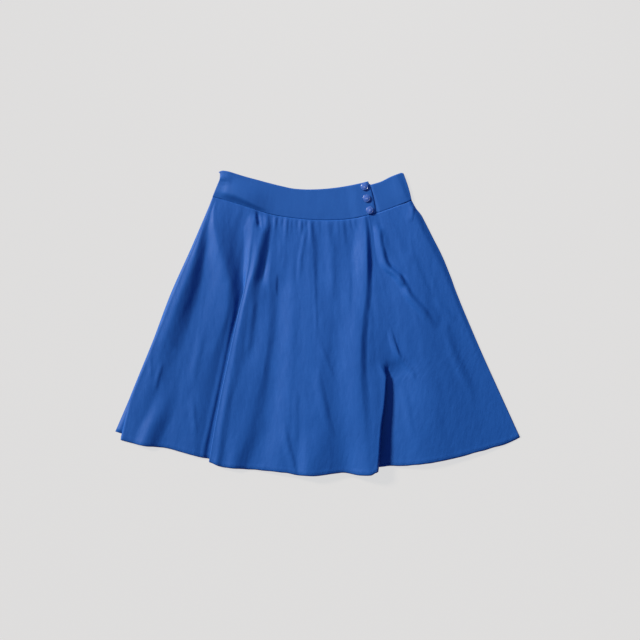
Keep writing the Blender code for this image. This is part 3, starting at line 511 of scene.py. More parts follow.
# Softer folds and creases laid over those waves, ridges above 0 and troughs below. Each has the part
# it lies on, its half widths to the left and to the right in millimetres, and its path. Columns of a
# path: radius, angle, height.
CREASES = [
    ("left", 24.0, 28.0, [
        (800, -18.4, 0.0), (830, -18.4, 1.6), (855, -18.5, 3.0), (880, -18.7, 4.2),
        (905, -18.9, 4.8), (935, -19.0, 5.2)]),
    ("left", 12.0, 7.0, [
        (815, -15.0, 0.0), (840, -14.6, 1.0), (865, -14.0, 0.8), (885, -13.7, 0.0)]),
    ("left", 16.0, 14.0, [
        (702, -23.4, 0.0), (711, -22.4, 1.2), (730, -20.2, 1.2), (738, -19.3, 0.0)]),
    ("left", 8.0, 5.5, [
        (600, -12.5, 0.0), (660, -12.3, 0.7), (840, -12.25, 0.8), (890, -12.25, 1.0),
        (935, -12.1, 1.0)]),
    ("left", 4.5, 4.5, [
        (600, -12.0, 0.0), (660, -11.85, -0.7), (840, -11.85, -0.7), (935, -11.65, -0.7)]),
    ("left", 8.0, 5.0, [
        (762, -22.3, 0.0), (775, -22.0, 1.0), (795, -21.4, 1.0), (808, -21.1, 0.0)]),
    ("left", 8.0, 5.0, [
        (772, -20.4, 0.0), (785, -20.3, 1.0), (815, -20.1, 0.9), (828, -20.0, 0.0)]),
    ("left", 12.0, 12.0, [
        (680, -16.6, 0.0), (720, -16.2, 0.9), (760, -15.9, 0.9), (810, -15.2, 0.0)]),
    ("middle", 9.0, 9.0, [
        (770, -1.7, 0.0), (800, -1.6, 0.8), (850, -1.6, 0.7), (875, -1.6, 0.0)]),
    ("middle", 14.0, 8.0, [
        (838, -3.0, 0.0), (868, -2.6, 1.2), (908, -1.8, 1.3), (935, -1.4, 0.6)]),
    ("middle", 22.0, 36.0, [
        (850, 0.2, 0.0), (900, 0.0, 2.6), (935, -0.2, 3.4)]),
    ("middle", 16.0, 10.0, [
        (735, 1.2, 0.0), (765, 1.6, 1.1), (805, 2.1, 1.3), (838, 2.6, 1.0), (868, 3.0, 0.0)]),
    ("middle", 10.0, 7.0, [
        (685, 1.8, 0.0), (712, 2.5, 0.8), (742, 3.2, 0.7), (765, 3.7, 0.0)]),
    ("middle", 7.0, 3.6, [
        (545, 1.3, 0.0), (570, 1.3, 0.5), (640, 1.35, 0.45), (685, 1.4, 0.0)]),
    ("middle", 11.0, 4.5, [
        (560, -6.0, 0.0), (575, -5.9, 1.2), (592, -5.8, 1.1), (606, -5.5, 0.0)]),
    ("middle", 9.0, 8.0, [
        (610, -9.3, 0.0), (635, -9.2, 1.1), (690, -9.0, 1.1), (725, -9.0, 0.0)]),
    ("middle", 6.0, 6.0, [
        (453, -11.8, 0.0), (457, -11.7, -2.0), (466, -11.4, -3.4), (476, -11.0, -3.0),
        (486, -10.8, 0.0)]),
    ("middle", 8.0, 14.0, [
        (453, -11.0, 0.0), (458, -10.9, -1.3), (468, -10.6, -2.2), (478, -10.3, -1.7),
        (490, -10.2, 0.0)]),
    ("middle", 16.0, 10.0, [
        (490, 5.0, 0.0), (520, 4.9, 1.2), (560, 4.6, 1.2), (615, 4.2, 0.0)]),
    ("middle", 24.0, 10.0, [
        (466, 0.6, 0.6), (500, 0.9, 1.9), (540, 1.0, 1.7), (580, 0.9, 0.9), (640, 0.6, 0.0)]),
    ("middle", 7.0, 6.0, [
        (470, -0.2, 0.0), (500, -1.0, 0.8), (540, -1.5, 0.9), (575, -1.6, 0.0)]),
    ("middle", 16.0, 8.0, [
        (530, 8.0, 0.0), (570, 7.6, 1.0), (610, 7.0, 0.9), (650, 6.4, 0.0)]),
    ("right", 13.0, 9.0, [
        (478, 15.1, 0.0), (500, 15.0, 1.8), (530, 14.7, 3.0), (555, 14.7, 4.2), (568, 15.0, 4.4),
        (578, 15.7, 5.2), (588, 16.4, 5.0), (602, 16.8, 4.2), (611, 17.0, 2.4), (620, 17.1, 3.4),
        (640, 17.7, 4.2), (662, 18.6, 3.8), (678, 19.0, 2.2), (700, 19.8, 0.0)]),
    ("right", 5.5, 6.0, [
        (560, 15.5, 0.0), (568, 15.8, -1.4), (578, 16.5, -2.2), (588, 17.2, -1.4),
        (600, 17.5, 0.0)]),
    ("right", 14.0, 16.0, [
        (488, 15.2, 0.0), (505, 15.3, 1.9), (530, 15.3, 1.7), (552, 15.4, 0.0)]),
    ("right", 11.0, 5.0, [
        (676, 12.9, 0.0), (702, 13.0, 1.6), (726, 13.2, 2.5), (748, 14.0, 2.2), (768, 14.6, 1.0),
        (785, 14.7, 0.0)]),
    ("right", 13.0, 10.0, [
        (545, 19.7, 0.0), (565, 19.9, 0.8), (620, 20.3, 0.5), (665, 20.9, 0.0)]),
    ("right", 12.0, 9.0, [
        (650, 21.0, 0.0), (668, 21.5, 0.9), (685, 22.2, 0.9), (705, 22.8, 0.0)]),
    ("right", 13.0, 13.0, [
        (690, 21.4, 0.0), (715, 21.0, 1.2), (760, 20.7, 1.3), (795, 20.9, 1.2), (840, 21.2, 0.0)]),
    ("right", 12.0, 10.0, [
        (780, 12.6, 0.0), (815, 12.8, 0.7), (860, 12.6, 0.6), (890, 12.6, 0.0)]),
    ("right", 14.0, 4.0, [
        (474, 24.4, 0.0), (480, 23.9, 0.9), (494, 22.9, 0.9), (502, 22.4, 0.0)])]
CREASE_FADE = 4.0

# Gathers under the band. Columns: angle, height, length, half width.
GATHERS = [
    (-7.5, 1.1, 36.0, 6.0), (-6.2, 0.6, 26.0, 5.0), (-4.9, 1.2, 48.0, 7.0), (-3.9, 0.7, 34.0, 5.0),
    (-3.0, 0.5, 20.0, 4.5), (-1.6, 1.2, 36.0, 5.5), (-0.7, 0.6, 20.0, 4.5), (0.6, 1.4, 62.0, 6.5),
    (2.4, 0.7, 40.0, 6.5), (3.4, 0.4, 22.0, 4.5), (4.5, 1.2, 60.0, 8.0), (5.4, 0.5, 20.0, 4.5),
    (6.6, 1.0, 44.0, 6.5), (7.7, 0.8, 64.0, 7.0), (9.2, 0.7, 24.0, 5.0), (10.4, 0.7, 28.0, 5.5)]
GATHER_START = 7.0
GATHER_FULL = 0.25

# The hem is turned up narrow: its edge rolls down and its inner fold stands out.
HEM_ROLL = 1.1
HEM_ROLL_WIDTH = 3.0
HEM_ROLL_WANDER = 0.6
HEM_WIDTH = 7.0
HEM_RISE = 0.25
HEM_RISE_WIDTH = 3.0
SEAM_SINK = 0.08
SEAM_SINK_WIDTH = 2.5
SEWING_WANDER = 0.8
HEM_WAVE = 0.7
HEM_WAVE_WIDTH = 12.0
WANDER_WIDTH = 14.0
WANDER_SEED = 7.0

# Ripples that run down the cloth. Columns: height, width, length. They fade beside a doubled-back
# fold, and where the cloth has no room to sink.
RIPPLES = [(1.0, 46.0, 130.0), (0.5, 17.0, 80.0), (0.16, 8.0, 26.0)]
RIPPLE_ROOM = 1.2
FOLD_CLEAR = 9.0
PANEL_RADIUS = 700.0

# Radii near the seam and near the hem, where a column's angles are read to find its ends.
NEAR_SEAM = 460.0
NEAR_HEM = 928.0


def degrees_of(length, radius):
    """Angle in degrees that a length takes up at a radius."""
    return np.degrees(length / radius)


def fold_at(fold, radius):
    """Foot angle, foot lift, height, share of the doubled-back form, and plain width of a fold."""
    foot_lift = through(fold["foot"], radius, 2)
    height = through(fold["top"], radius, 2) - foot_lift
    share = smooth((radius - fold["start"]) / (fold["full"] - fold["start"]))
    plain_foot = through(fold["foot"], radius)
    plain_width = through(fold["top"], radius) - plain_foot
    reach = fold["facing"] * degrees_of(BEND_REACH * height, radius)
    tucked_foot = through(fold["nose"], radius) - reach
    foot = mix(plain_foot, tucked_foot, share)
    return foot, foot_lift, height, share, plain_width


def bend_path(t):
    """Section of a doubled-back fold of height 1: distance towards its nose, and height."""
    first = BEND_TURN * np.clip(t / BEND_PART, 0.0, 1.0)
    run = BEND_STRAIGHT * np.clip((t - BEND_PART) / (1.0 - 2.0 * BEND_PART), 0.0, 1.0)
    last = BEND_TURN * (1.0 - np.clip((t - 1.0 + BEND_PART) / BEND_PART, 0.0, 1.0))
    last_out = BEND_SHARE * (math.sin(BEND_TURN) - np.sin(last))
    last_up = BEND_SHARE * (np.cos(last) - math.cos(BEND_TURN))
    out = -BEND_SHARE * np.sin(first) - run * math.cos(BEND_TURN) - last_out
    up = BEND_SHARE * (1.0 - np.cos(first)) + run * math.sin(BEND_TURN) + last_up
    return out, up


def fold_point(fold, radius, t):
    """Angle and lift of a point on a fold, from its foot at t = 0 to its top at t = 1."""
    foot, foot_lift, height, share, plain_width = fold_at(fold, radius)
    out, up = bend_path(t)
    tucked = fold["facing"] * degrees_of(out * height, radius)
    angle = foot + mix(plain_width * t, tucked, share)
    lift = foot_lift + height * mix(smooth(t), up, share)
    return angle, lift


def line_at(line, radius, fold_end):
    """Angle and lift of a line down the panel, or of a fold's foot (0) or top (1)."""
    if isinstance(line, dict):
        return fold_point(line, radius, fold_end)
    return through(line, radius), through(line, radius, 2)


def crease_lift(part, radius, angle):
    """Height that the softer folds and creases add on one part of the panel."""
    total = 0.0
    for where, left_width, right_width, path in CREASES:
        if where != part:
            continue
        away = np.radians(angle - through(path, radius)) * radius
        across = bump(away / np.where(away < 0.0, left_width, right_width))
        total = total + through(path, radius, 2) * across
    left_foot = fold_point(LEFT_FOLD, radius, 0.0)[0]
    right_foot = fold_point(RIGHT_FOLD, radius, 0.0)[0]
    clear = np.minimum(np.abs(angle - left_foot), np.abs(angle - right_foot))
    return total * smooth(np.radians(clear) * radius / CREASE_FADE)


def gather_lift(radius, angle):
    """Height that the gathers add just below the band."""
    total = 0.0
    below = radius - through(SEAM, angle)
    for middle, height, length, half_width in GATHERS:
        away = np.radians(angle - middle) * radius
        spent = smooth((below - GATHER_FULL * length) / ((1.0 - GATHER_FULL) * length))
        fade = smooth(below / GATHER_START) * (1.0 - spent)
        total = total + height * bump(away / half_width) * fade
    return total


def uneven(radius, angle, width, length, seed):
    """A value from -1 to 1 that wanders once in about a width across and a length down the cloth."""
    across = [math.radians(a) * PANEL_RADIUS / width for a in angle]
    return np.array([noise.noise(Vector((x, r / length, seed))) for x, r in zip(across, radius)])


def ripple_lift(radius, angle, room):
    """Small uneven ripples that run down the cloth, fading where there is no room under it."""
    total = 0.0
    for height, width, length in RIPPLES:
        total = total + height * uneven(radius, angle, width, length, height)
    return total * smooth(room / RIPPLE_ROOM)


def clear_of_folds(radius, angle):
    """0 at the edges of a doubled-back fold, 1 away from it or where it isn't doubled back."""
    clear = 1.0
    for fold in (LEFT_FOLD, RIGHT_FOLD):
        share = fold_at(fold, radius)[3]
        from_foot = np.abs(angle - fold_point(fold, radius, 0.0)[0])
        from_top = np.abs(angle - fold_point(fold, radius, 1.0)[0])
        away = np.radians(np.minimum(from_foot, from_top)) * radius
        clear = clear * (1.0 - share * (1.0 - smooth(away / FOLD_CLEAR)))
    return clear


def front_surface(stretch, t, radius):
    """Angle and lift of the front's middle surface, at a share t of the way across a stretch."""
    part, first, second, _ = STRETCHES[stretch]
    if second is None:
        from_foot = t if first["facing"] < 0 else 1.0 - t
        return fold_point(first, radius, from_foot)
    angle_a, lift_a = line_at(first, radius, 1.0 if first is LEFT_FOLD else 0.0)
    angle_b, lift_b = line_at(second, radius, 1.0 if second is RIGHT_FOLD else 0.0)
    angle = mix(angle_a, angle_b, t)
    lift = mix(lift_a, lift_b, smooth(t)) + crease_lift(part, radius, angle)
    if part == "middle":
        lift = lift + gather_lift(radius, angle)
    return angle, lift


def front_ends(stretch, t):
    """Radius of the seam and of the hem on one column of the front."""
    part = STRETCHES[stretch][0]
    top_angle = front_surface(stretch, t, np.array([NEAR_SEAM]))[0][0]
    hem_angle = front_surface(stretch, t, np.array([NEAR_HEM]))[0][0]
    start = through(SEAM, top_angle) + SEAM_ROOM
    if part == "left":
        return start, through(HEM_LEFT, hem_angle)
    if part == "right":
        return start, through(HEM_RIGHT, hem_angle)
    if part == "left fold":
        return start, mix(HEM_LEFT[-1][1], HEM_MIDDLE[0][1], t)
    if part == "right fold":
        return start, mix(HEM_MIDDLE[-1][1], HEM_RIGHT[0][1], t)
    return start, through(HEM_MIDDLE, hem_angle)


def down_shares():
    """Rows down the panel, closer together at the seam and at the hem."""
    even = np.linspace(0.0, 1.0, ROWS + 1)
    return even - ROW_CROWDING * np.sin(2.0 * math.pi * even)


def front_column(stretch, t):
    """Points down one column of the front, from the seam to the hem."""
    start, end = front_ends(stretch, t)
    radius = mix(start, end, down_shares())
    angle, lift = front_surface(stretch, t, radius)
    edge = 1.0
    if stretch == 0:
        edge = smooth(np.array(t * 2.0))
    if stretch == len(STRETCHES) - 1:
        edge = smooth(np.array((1.0 - t) * 2.0))
    if STRETCHES[stretch][2] is None:
        edge = 1.0 - fold_at(STRETCHES[stretch][1], radius)[3]
    lift = lift + edge * clear_of_folds(radius, angle) * ripple_lift(radius, angle, lift)
    from_hem = end - radius
    from_seam = radius - start
    wander = uneven(radius, angle, WANDER_WIDTH, WANDER_WIDTH, WANDER_SEED)
    roll = HEM_ROLL * (1.0 + HEM_ROLL_WANDER * wander)
    rise = HEM_RISE * (1.0 + SEWING_WANDER * wander)
    sink = SEAM_SINK * (1.0 + SEWING_WANDER * wander)
    lift = lift - roll * (1.0 - smooth(from_hem / HEM_ROLL_WIDTH))
    lift = lift + rise * bump((from_hem - HEM_WIDTH) / HEM_RISE_WIDTH)
    lift = lift - sink * (1.0 - smooth(from_seam / SEAM_SINK_WIDTH))
    radius = radius + HEM_WAVE * wander * (1.0 - smooth(from_hem / HEM_WAVE_WIDTH))
    return place(radius, angle, CAD_CLOTH + CAD_GAP + CAD_CLOTH / 2.0 + lift)


front_columns = []
for stretch, (_, _, _, count) in enumerate(STRETCHES):
    for step in range(count):
        front_columns.append(front_column(stretch, step / count))
front_columns.append(front_column(len(STRETCHES) - 1, 1.0))
front_points = np.stack(front_columns, axis=1)
front = cloth_piece("front_panel", front_points, CLOTH, panel_cloth)
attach(front, "root")
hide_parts("skirt_front")

# Hem stitching.
# One line of straight machine stitches in matching thread, which holds the turned-up hem along the
# inner fold. Each stitch is a short bead of thread that presses into the cloth at its two ends.

STITCH_LENGTH = 2.3
STITCH_STEP = 3.0
THREAD = 0.42
THREAD_STANDS = 0.15
HEM_STITCH_ROW = 6.2
HEM_DOWN_ROWS = 6
THREAD_DEEP = (0.012, 0.078, 0.34, 1.0)
THREAD_LIGHT = (0.024, 0.115, 0.43, 1.0)
STRAND_SCALE = 2400.0


def speckled_material(name, scale, deep, light):
    """A material whose colour wanders between two, its tree and shader, and the tone it follows."""
    material, tree, shader = new_material(name)
    where = add_node(tree, "ShaderNodeTexCoord")
    speckle = add_node(tree, "ShaderNodeTexNoise", Scale=scale, Detail=2.0)
    tree.links.new(where.outputs["Object"], speckle.inputs["Vector"])
    colour = colour_between(tree, speckle.outputs["Fac"], deep, light)
    tree.links.new(colour, shader.inputs["Base Color"])
    return material, tree, shader, speckle.outputs["Fac"]


sewing_thread, _, thread_shader, _ = speckled_material(
    "sewing_thread", STRAND_SCALE, THREAD_DEEP, THREAD_LIGHT)
set_inputs(thread_shader, Roughness=0.55, Specular_IOR_Level=0.25)


def stitch_tree():
    """Geometry nodes: stitches set along a path at even steps, lying along it."""
    tree, start, end = new_group(
        "row of stitches", "GeometryNodeTree",
        [("Path", "Geometry"), ("Step", "Float"), ("Length", "Float"), ("Thread", "Float"),
         ("Finish", "Material")],
        [("Stitches", "Geometry")])
    link = tree.links.new
    even = add_node(tree, "GeometryNodeResampleCurve", mode="LENGTH")
    link(start.outputs["Path"], even.inputs["Curve"])
    link(start.outputs["Step"], even.inputs["Length"])
    bead = add_node(tree, "GeometryNodeMeshUVSphere", Segments=6, Rings=4, Radius=0.5)
    sized = tree.nodes.new("ShaderNodeCombineXYZ")
    link(start.outputs["Thread"], sized.inputs["X"])
    link(start.outputs["Thread"], sized.inputs["Y"])
    link(start.outputs["Length"], sized.inputs["Z"])
    along = tree.nodes.new("GeometryNodeInputTangent")
    turned = add_node(tree, "FunctionNodeAlignRotationToVector", axis="Z")
    link(along.outputs[0], turned.inputs["Vector"])
    placed = tree.nodes.new("GeometryNodeInstanceOnPoints")
    link(even.outputs[0], placed.inputs["Points"])
    link(bead.outputs["Mesh"], placed.inputs["Instance"])
    link(turned.outputs[0], placed.inputs["Rotation"])
    link(sized.outputs[0], placed.inputs["Scale"])
    real = tree.nodes.new("GeometryNodeRealizeInstances")
    link(placed.outputs[0], real.inputs[0])
    smooth_faces = tree.nodes.new("GeometryNodeSetShadeSmooth")
    link(real.outputs[0], smooth_faces.inputs[0])
    finish = tree.nodes.new("GeometryNodeSetMaterial")
    link(smooth_faces.outputs[0], finish.inputs["Geometry"])
    link(start.outputs["Finish"], finish.inputs["Material"])
    link(finish.outputs[0], end.inputs[0])
    return tree


STITCHES = stitch_tree()


def stitched_line(name, points):
    """A row of stitches through points in metres, as a plain mesh."""
    curve = bpy.data.curves.new(name, "CURVE")
    curve.dimensions = "3D"
    line = curve.splines.new("POLY")
    line.points.add(len(points) - 1)
    for spot, point in zip(line.points, points):
        spot.co = (*point, 1.0)
    path = put_in_scene(name + "_path", curve)
    rows = path.modifiers.new("stitches", "NODES")
    rows.node_group = STITCHES
    values = {
        "Step": STITCH_STEP * MM, "Length": STITCH_LENGTH * MM,
        "Thread": THREAD * MM, "Finish": sewing_thread}
    for item in STITCHES.interface.items_tree:
        if item.in_out == "INPUT" and item.name in values:
            rows[item.identifier] = values[item.name]
    mesh = evaluated_mesh(path)
    bpy.data.objects.remove(path)
    mesh.name = name
    return put_in_scene(name, mesh)


def hem_line():
    """Path on the front's top face at an even distance in from the hem."""
    points = []
    for column in range(front_points.shape[1]):
        line = front_points[:, column]
        gaps = np.linalg.norm(np.diff(line, axis=0), axis=1)
        from_hem = np.concatenate([np.cumsum(gaps[::-1])[::-1], [0.0]])
        spot = [np.interp(-HEM_STITCH_ROW * MM, -from_hem, line[:, axis]) for axis in range(3)]
        points.append(spot)
    return np.array(points)


hem_path = hem_line()
hem_across = np.gradient(hem_path, axis=0)
hem_down = front_points[-1] - front_points[-HEM_DOWN_ROWS]
hem_out = np.cross(hem_down, hem_across)
hem_out /= np.linalg.norm(hem_out, axis=1)[:, None]
hem_path = hem_path + hem_out * (CLOTH / 2.0 + THREAD * THREAD_STANDS) * MM
hem_stitches = stitched_line("hem_stitches", hem_path)
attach(hem_stitches, "root")

# Front waistband and underlap.
# The shaped band, double and stiffened, runs from the left side over the gathers to a free end. Under
# that end lies the underlap, the end of the same band that comes round from the back.

OVERLAP_END = [(405, 15.9), (425, 16.1), (440, 16.0), (465, 15.6)]
UNDERLAP_REACH = 25.0

# How far the band stands above where it rests. Columns: angle, at its top, in its middle, at the seam,
# and how far down the middle is.
BAND_LIFT = [
    (-23.9, 0.0, 0.0, 0.0, 0.7), (-22.6, 1.8, 1.8, 0.4, 0.7), (-21.4, 2.6, 3.2, 0.4, 0.72),
    (-20.0, 2.0, 5.6, 0.3, 0.72), (-18.0, 1.5, 7.0, 0.1, 0.72), (-16.0, 1.2, 7.2, 0.1, 0.75),
    (-13.5, 1.0, 6.0, 0.1, 0.81), (-11.5, 0.7, 3.6, 0.1, 0.86), (-9.6, 0.5, 1.4, 0.2, 0.86),
    (-7.5, 0.3, 0.5, 0.2, 0.8), (0.0, 0.2, 0.4, 0.2, 0.7), (9.5, 0.2, 0.4, 0.3, 0.6),
    (12.4, 1.8, 1.8, 1.8, 0.5), (16.2, 1.8, 1.8, 1.8, 0.5)]
UNDERLAP_LIFT = [
    (12.0, 0.0, 0.0, 0.0, 0.7), (16.1, 0.0, 0.0, 0.0, 0.7), (16.7, 1.1, 1.1, 1.1, 0.7),
    (20.0, 1.0, 1.3, 1.0, 0.7), (23.2, 1.8, 2.6, 2.2, 0.7), (24.5, 0.6, 0.5, 0.3, 0.7),
    (25.3, 0.0, 0.0, 0.0, 0.7)]

# Creases across the band. Columns: half width, then the path's rows of angle, radius, height.
BAND_CREASES = [
    (2.2, [(-23.2, 420.5, 0.0), (-22.6, 420.3, -0.7), (-21.4, 419.0, -0.6), (-20.6, 418.0, 0.0)]),
    (3.0, [(-22.6, 429.5, 0.0), (-21.6, 427.5, -0.35), (-20.6, 425.0, -0.3), (-19.0, 419.0, 0.0)]),
    (11.0, [(-23.6, 418.0, 0.0), (-22.8, 416.0, 2.0), (-21.8, 414.0, 1.5), (-19.6, 410.0, 0.0)])]
BAND_ROWS = 30
BAND_MIDDLE = 430.0
BAND_SETTLE_STEPS = 5
BAND_PRESSED = 0.3
COLUMN_CROWDING = 0.04
BAND_ROW_CROWDING = 0.05
EDGE_ROLL = 0.4
EDGE_ROLL_WIDTH = 1.6
END_FALL = 0.35
END_FALL_WIDTH = 5.0


def band_piece(name, left, right, top, lifts, columns, ends):
    """A stretch of the waistband, from its top edge to the seam, with soft rolled edges."""
    lines = []
    across = np.linspace(0.0, 1.0, columns + 1)
    across = across - COLUMN_CROWDING * np.sin(2.0 * math.pi * across)
    shares = np.linspace(0.0, 1.0, BAND_ROWS + 1)
    shares = shares - BAND_ROW_CROWDING * np.sin(2.0 * math.pi * shares)
    for share in shares:
        radius = BAND_MIDDLE + 0.0 * across
        for _ in range(BAND_SETTLE_STEPS):
            angle = mix(left(radius), right(radius), across)
            upper_end = top(angle)
            lower_end = through(SEAM, angle) - SEAM_ROOM
            radius = mix(upper_end, lower_end, share)
        middle = through(lifts, angle, 4)
        upper = mix(through(lifts, angle, 1), through(lifts, angle, 2), smooth(share / middle))
        fallen = smooth((share - middle) / (1.0 - middle))
        lift = mix(upper, through(lifts, angle, 3), fallen)
        for half_width, path in BAND_CREASES:
            across_crease = bump((radius - through(path, angle)) / half_width)
            lift = lift + through(path, angle, 2) * across_crease
        from_edges = [radius - upper_end, lower_end - radius]
        if "left" in ends:
            from_edges.append(np.radians(angle - left(radius)) * radius)
        if "right" in ends:
            from_edges.append(np.radians(right(radius) - angle) * radius)
        for distance in from_edges:
            lift = lift - EDGE_ROLL * (1.0 - smooth(distance / EDGE_ROLL_WIDTH))
        if "right" in ends:
            lift = lift - END_FALL * (1.0 - smooth(from_edges[-1] / END_FALL_WIDTH))
        lines.append(place(radius, angle, BAND_CLOTH + CAD_GAP + BAND_CLOTH / 2.0 + lift))
    return cloth_piece(name, np.array(lines), BAND_CLOTH - BAND_PRESSED, band_cloth)


underlap = band_piece(
    "band_underlap_end",
    lambda radius: through(OVERLAP_END, radius) - degrees_of(UNDERLAP_REACH, radius),
    lambda radius: through(UNDERLAP_RIGHT, radius),
    lambda angle: through(UNDERLAP_TOP, angle),
    UNDERLAP_LIFT, columns=70, ends=("left",))
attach(underlap, "root")
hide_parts("band_underlap")

front_band = band_piece(
    "band_front_end",
    lambda radius: through(BAND_LEFT, radius),
    lambda radius: through(OVERLAP_END, radius),
    lambda angle: through(BAND_TOP, angle),
    BAND_LIFT, columns=200, ends=("right",))
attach(front_band, "root")
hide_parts("band_front")

# Buttons.
# Three small domed buttons of glossy dyed resin, sewn down the overlap's free end. Each has a fine rim
# and stands just off the band on its thread.

BUTTONS = [("button_1", 14.57, 412.6), ("button_2", 14.4, 434.5), ("button_3", 14.4, 457.2)]
BUTTON_DIAMETER = 13.5
BUTTON_HEIGHT = 3.0
BUTTON_TURNS = 48
DOME_FALL = 0.9
DOME_POWER = 2.2
DOME_STEPS = 12
GROOVE = 0.12
RIM_WIDTH = 1.1
RIM_DIP = 0.22
RIM_STEPS = 6
RIM_START = 0.75 * math.pi
RIM_END = -0.1 * math.pi
RIM_FLATTENED = 0.55

# A button's side and underside. Columns: distance in from its side, height.
BUTTON_SIDE = [(0.0, 1.2), (0.5, 0.35), (1.6, 0.0)]
RESIN_DEEP = (0.034, 0.108, 0.43, 1.0)
RESIN_LIGHT = (0.046, 0.132, 0.49, 1.0)
CLOUD_SCALE = 420.0


resin, resin_tree, resin_shader, cloud = speckled_material(
    "dyed_resin", CLOUD_SCALE, RESIN_DEEP, RESIN_LIGHT)
polish = add_node(resin_tree, "ShaderNodeMapRange", To_Min=0.3, To_Max=0.4)
resin_tree.links.new(cloud, polish.inputs["Value"])
resin_tree.links.new(polish.outputs["Result"], resin_shader.inputs["Roughness"])
set_inputs(resin_shader, Coat_Weight=0.7, Coat_Roughness=0.15)


def button_profile():
    """Section of a button from its crown out over the rim, down its side and in under it."""
    half = BUTTON_DIAMETER / 2.0
    inner = half - RIM_WIDTH
    reach = RIM_WIDTH / 2.0
    points = []
    for step in range(DOME_STEPS + 1):
        share = step / DOME_STEPS
        points.append((inner * share, BUTTON_HEIGHT - DOME_FALL * share ** DOME_POWER))
    groove = points[-1][1] - RIM_DIP
    points.append((inner + GROOVE, groove))
    for step in range(RIM_STEPS + 1):
        turn = mix(RIM_START, RIM_END, step / RIM_STEPS)
        across = half - reach + reach * math.cos(turn)
        points.append((across, groove + reach * RIM_FLATTENED * math.sin(turn)))
    points += [(half - inset, height) for inset, height in BUTTON_SIDE]
    points.append((0.0, 0.0))
    return points


def button_piece(name, angle, radius, height, material):
    """A button turned from its section round its middle, at a place on the band."""
    steps = BUTTON_TURNS
    profile = button_profile()
    centre = place(np.float64(radius), np.float64(angle), height)
    points = []
    for x, z in profile[1:-1]:
        for step in range(steps):
            turn = 2.0 * math.pi * step / steps
            spot = np.array([x * math.cos(turn), x * math.sin(turn), z])
            points.append(centre + spot * MM)
    points.append(centre + np.array([0.0, 0.0, profile[0][1]]) * MM)
    points.append(centre)
    crown = len(points) - 2
    base = len(points) - 1
    rings = len(profile) - 2
    faces = []
    for step in range(steps):
        after = (step + 1) % steps
        faces.append((crown, step, after))
        faces.append((base, (rings - 1) * steps + after, (rings - 1) * steps + step))
        for ring in range(rings - 1):
            a = ring * steps
            faces.append((a + step, a + steps + step, a + steps + after, a + after))
    mesh = bpy.data.meshes.new(name)
    mesh.from_pydata([tuple(p) for p in points], [], faces)
    mesh.shade_smooth()
    mesh.materials.append(material)
    return put_in_scene(name, mesh)


for node, angle, radius in BUTTONS:
    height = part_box(node)[0].z / MM
    button = button_piece("sewn_" + node, angle, radius, height, resin)
    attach(button, "root")
    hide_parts(node)

# Studio.
# A plain pale surface and backdrop, a soft key light low from the upper left, an even fill, a
# small light overhead that puts the glint on the buttons, a wider one from beyond the waist, and
# the camera straight above.

PIXEL = 1.85 * MM
VIEW_WIDTH = 640 * PIXEL
VIEW_CENTRE = (4.34 * MM, 5.98 * MM)
LENS = 85.0
SENSOR = 36.0
FLOOR_REACH = 4.0
FLOOR_COLOUR = (0.06, 0.06, 0.06, 1.0)
FLOOR_GLOW = 0.672
BACKDROP_COLOUR = (0.73, 0.73, 0.73, 1.0)
KEY_FROM = (-0.80, 0.50, 0.48)
KEY_STRENGTH = 5.5
KEY_COLOUR = (1.2, 1.03, 0.82)
KEY_SPREAD = math.radians(10.0)
STRIP_SIZE = (0.42, 0.16)
STRIP_STRENGTH = 0.8
STRIP_PLACE = (0.11, 0.235, 0.9)
TOP_SIZE = (0.7, 0.2)
TOP_STRENGTH = 1.2
TOP_PLACE = (0.02, 0.85, 0.45)
TOP_TARGET = (0.02, 0.15, 0.0)
FILL_STRENGTH = 0.065
FILL_COLOUR = (0.35, 0.5, 2.3, 1.0)

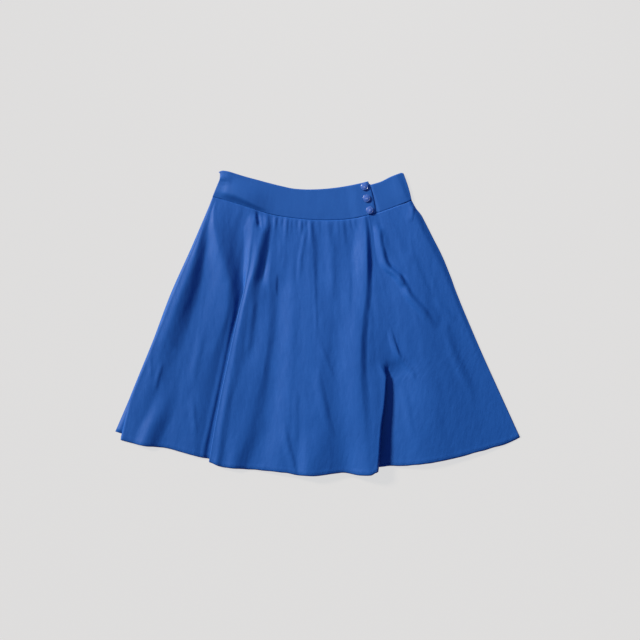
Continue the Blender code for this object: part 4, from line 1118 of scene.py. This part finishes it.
pale_paper, _, paper_shader = new_material("pale_paper")
set_inputs(
    paper_shader, Base_Color=FLOOR_COLOUR, Roughness=1.0, Specular_IOR_Level=0.0,
    Emission_Color=(1.0, 1.0, 1.0, 1.0), Emission_Strength=FLOOR_GLOW)
floor_corners = [(-1, -1), (1, -1), (1, 1), (-1, 1)]
floor_mesh = bpy.data.meshes.new("floor")
floor_mesh.from_pydata(
    [(x * FLOOR_REACH, y * FLOOR_REACH, 0.0) for x, y in floor_corners], [], [(0, 1, 2, 3)])
floor_mesh.materials.append(pale_paper)
floor = put_in_scene("floor", floor_mesh)

key_data = bpy.data.lights.new("key", "SUN")
key_data.energy = KEY_STRENGTH
key_data.color = KEY_COLOUR
key_data.angle = KEY_SPREAD
key = put_in_scene("key", key_data)
key.rotation_euler = Vector(KEY_FROM).to_track_quat("Z", "Y").to_euler()


def area_light(name, size, strength, where):
    """A soft rectangular light that faces straight down."""
    data = bpy.data.lights.new(name, "AREA")
    data.shape = "RECTANGLE"
    data.size = size[0]
    data.size_y = size[1]
    data.energy = strength
    light = put_in_scene(name, data)
    light.location = where
    return light


area_light("overhead", STRIP_SIZE, STRIP_STRENGTH, STRIP_PLACE)
top = area_light("top", TOP_SIZE, TOP_STRENGTH, TOP_PLACE)
top_aim = Vector(TOP_PLACE) - Vector(TOP_TARGET)
top.rotation_euler = top_aim.to_track_quat("Z", "Y").to_euler()

world = bpy.data.worlds.new("fill")
world.use_nodes = True
air = world.node_tree
sky = air.nodes["Background"]
set_inputs(sky, Color=FILL_COLOUR, Strength=FILL_STRENGTH)
backdrop = add_node(air, "ShaderNodeBackground", Color=BACKDROP_COLOUR, Strength=1.0)
rays = add_node(air, "ShaderNodeLightPath")
seen = add_node(air, "ShaderNodeMixShader")
air.links.new(rays.outputs["Is Camera Ray"], seen.inputs[0])
air.links.new(sky.outputs[0], seen.inputs[1])
air.links.new(backdrop.outputs[0], seen.inputs[2])
air.links.new(seen.outputs[0], air.nodes["World Output"].inputs["Surface"])
scene = bpy.context.scene
scene.world = world
scene.view_settings.view_transform = "Standard"
scene.view_settings.look = "None"

camera_data = bpy.data.cameras.new("camera")
camera_data.lens = LENS
camera_data.sensor_width = SENSOR
camera = put_in_scene("camera", camera_data)
camera.location = (VIEW_CENTRE[0], VIEW_CENTRE[1], VIEW_WIDTH * LENS / SENSOR)
scene.camera = camera
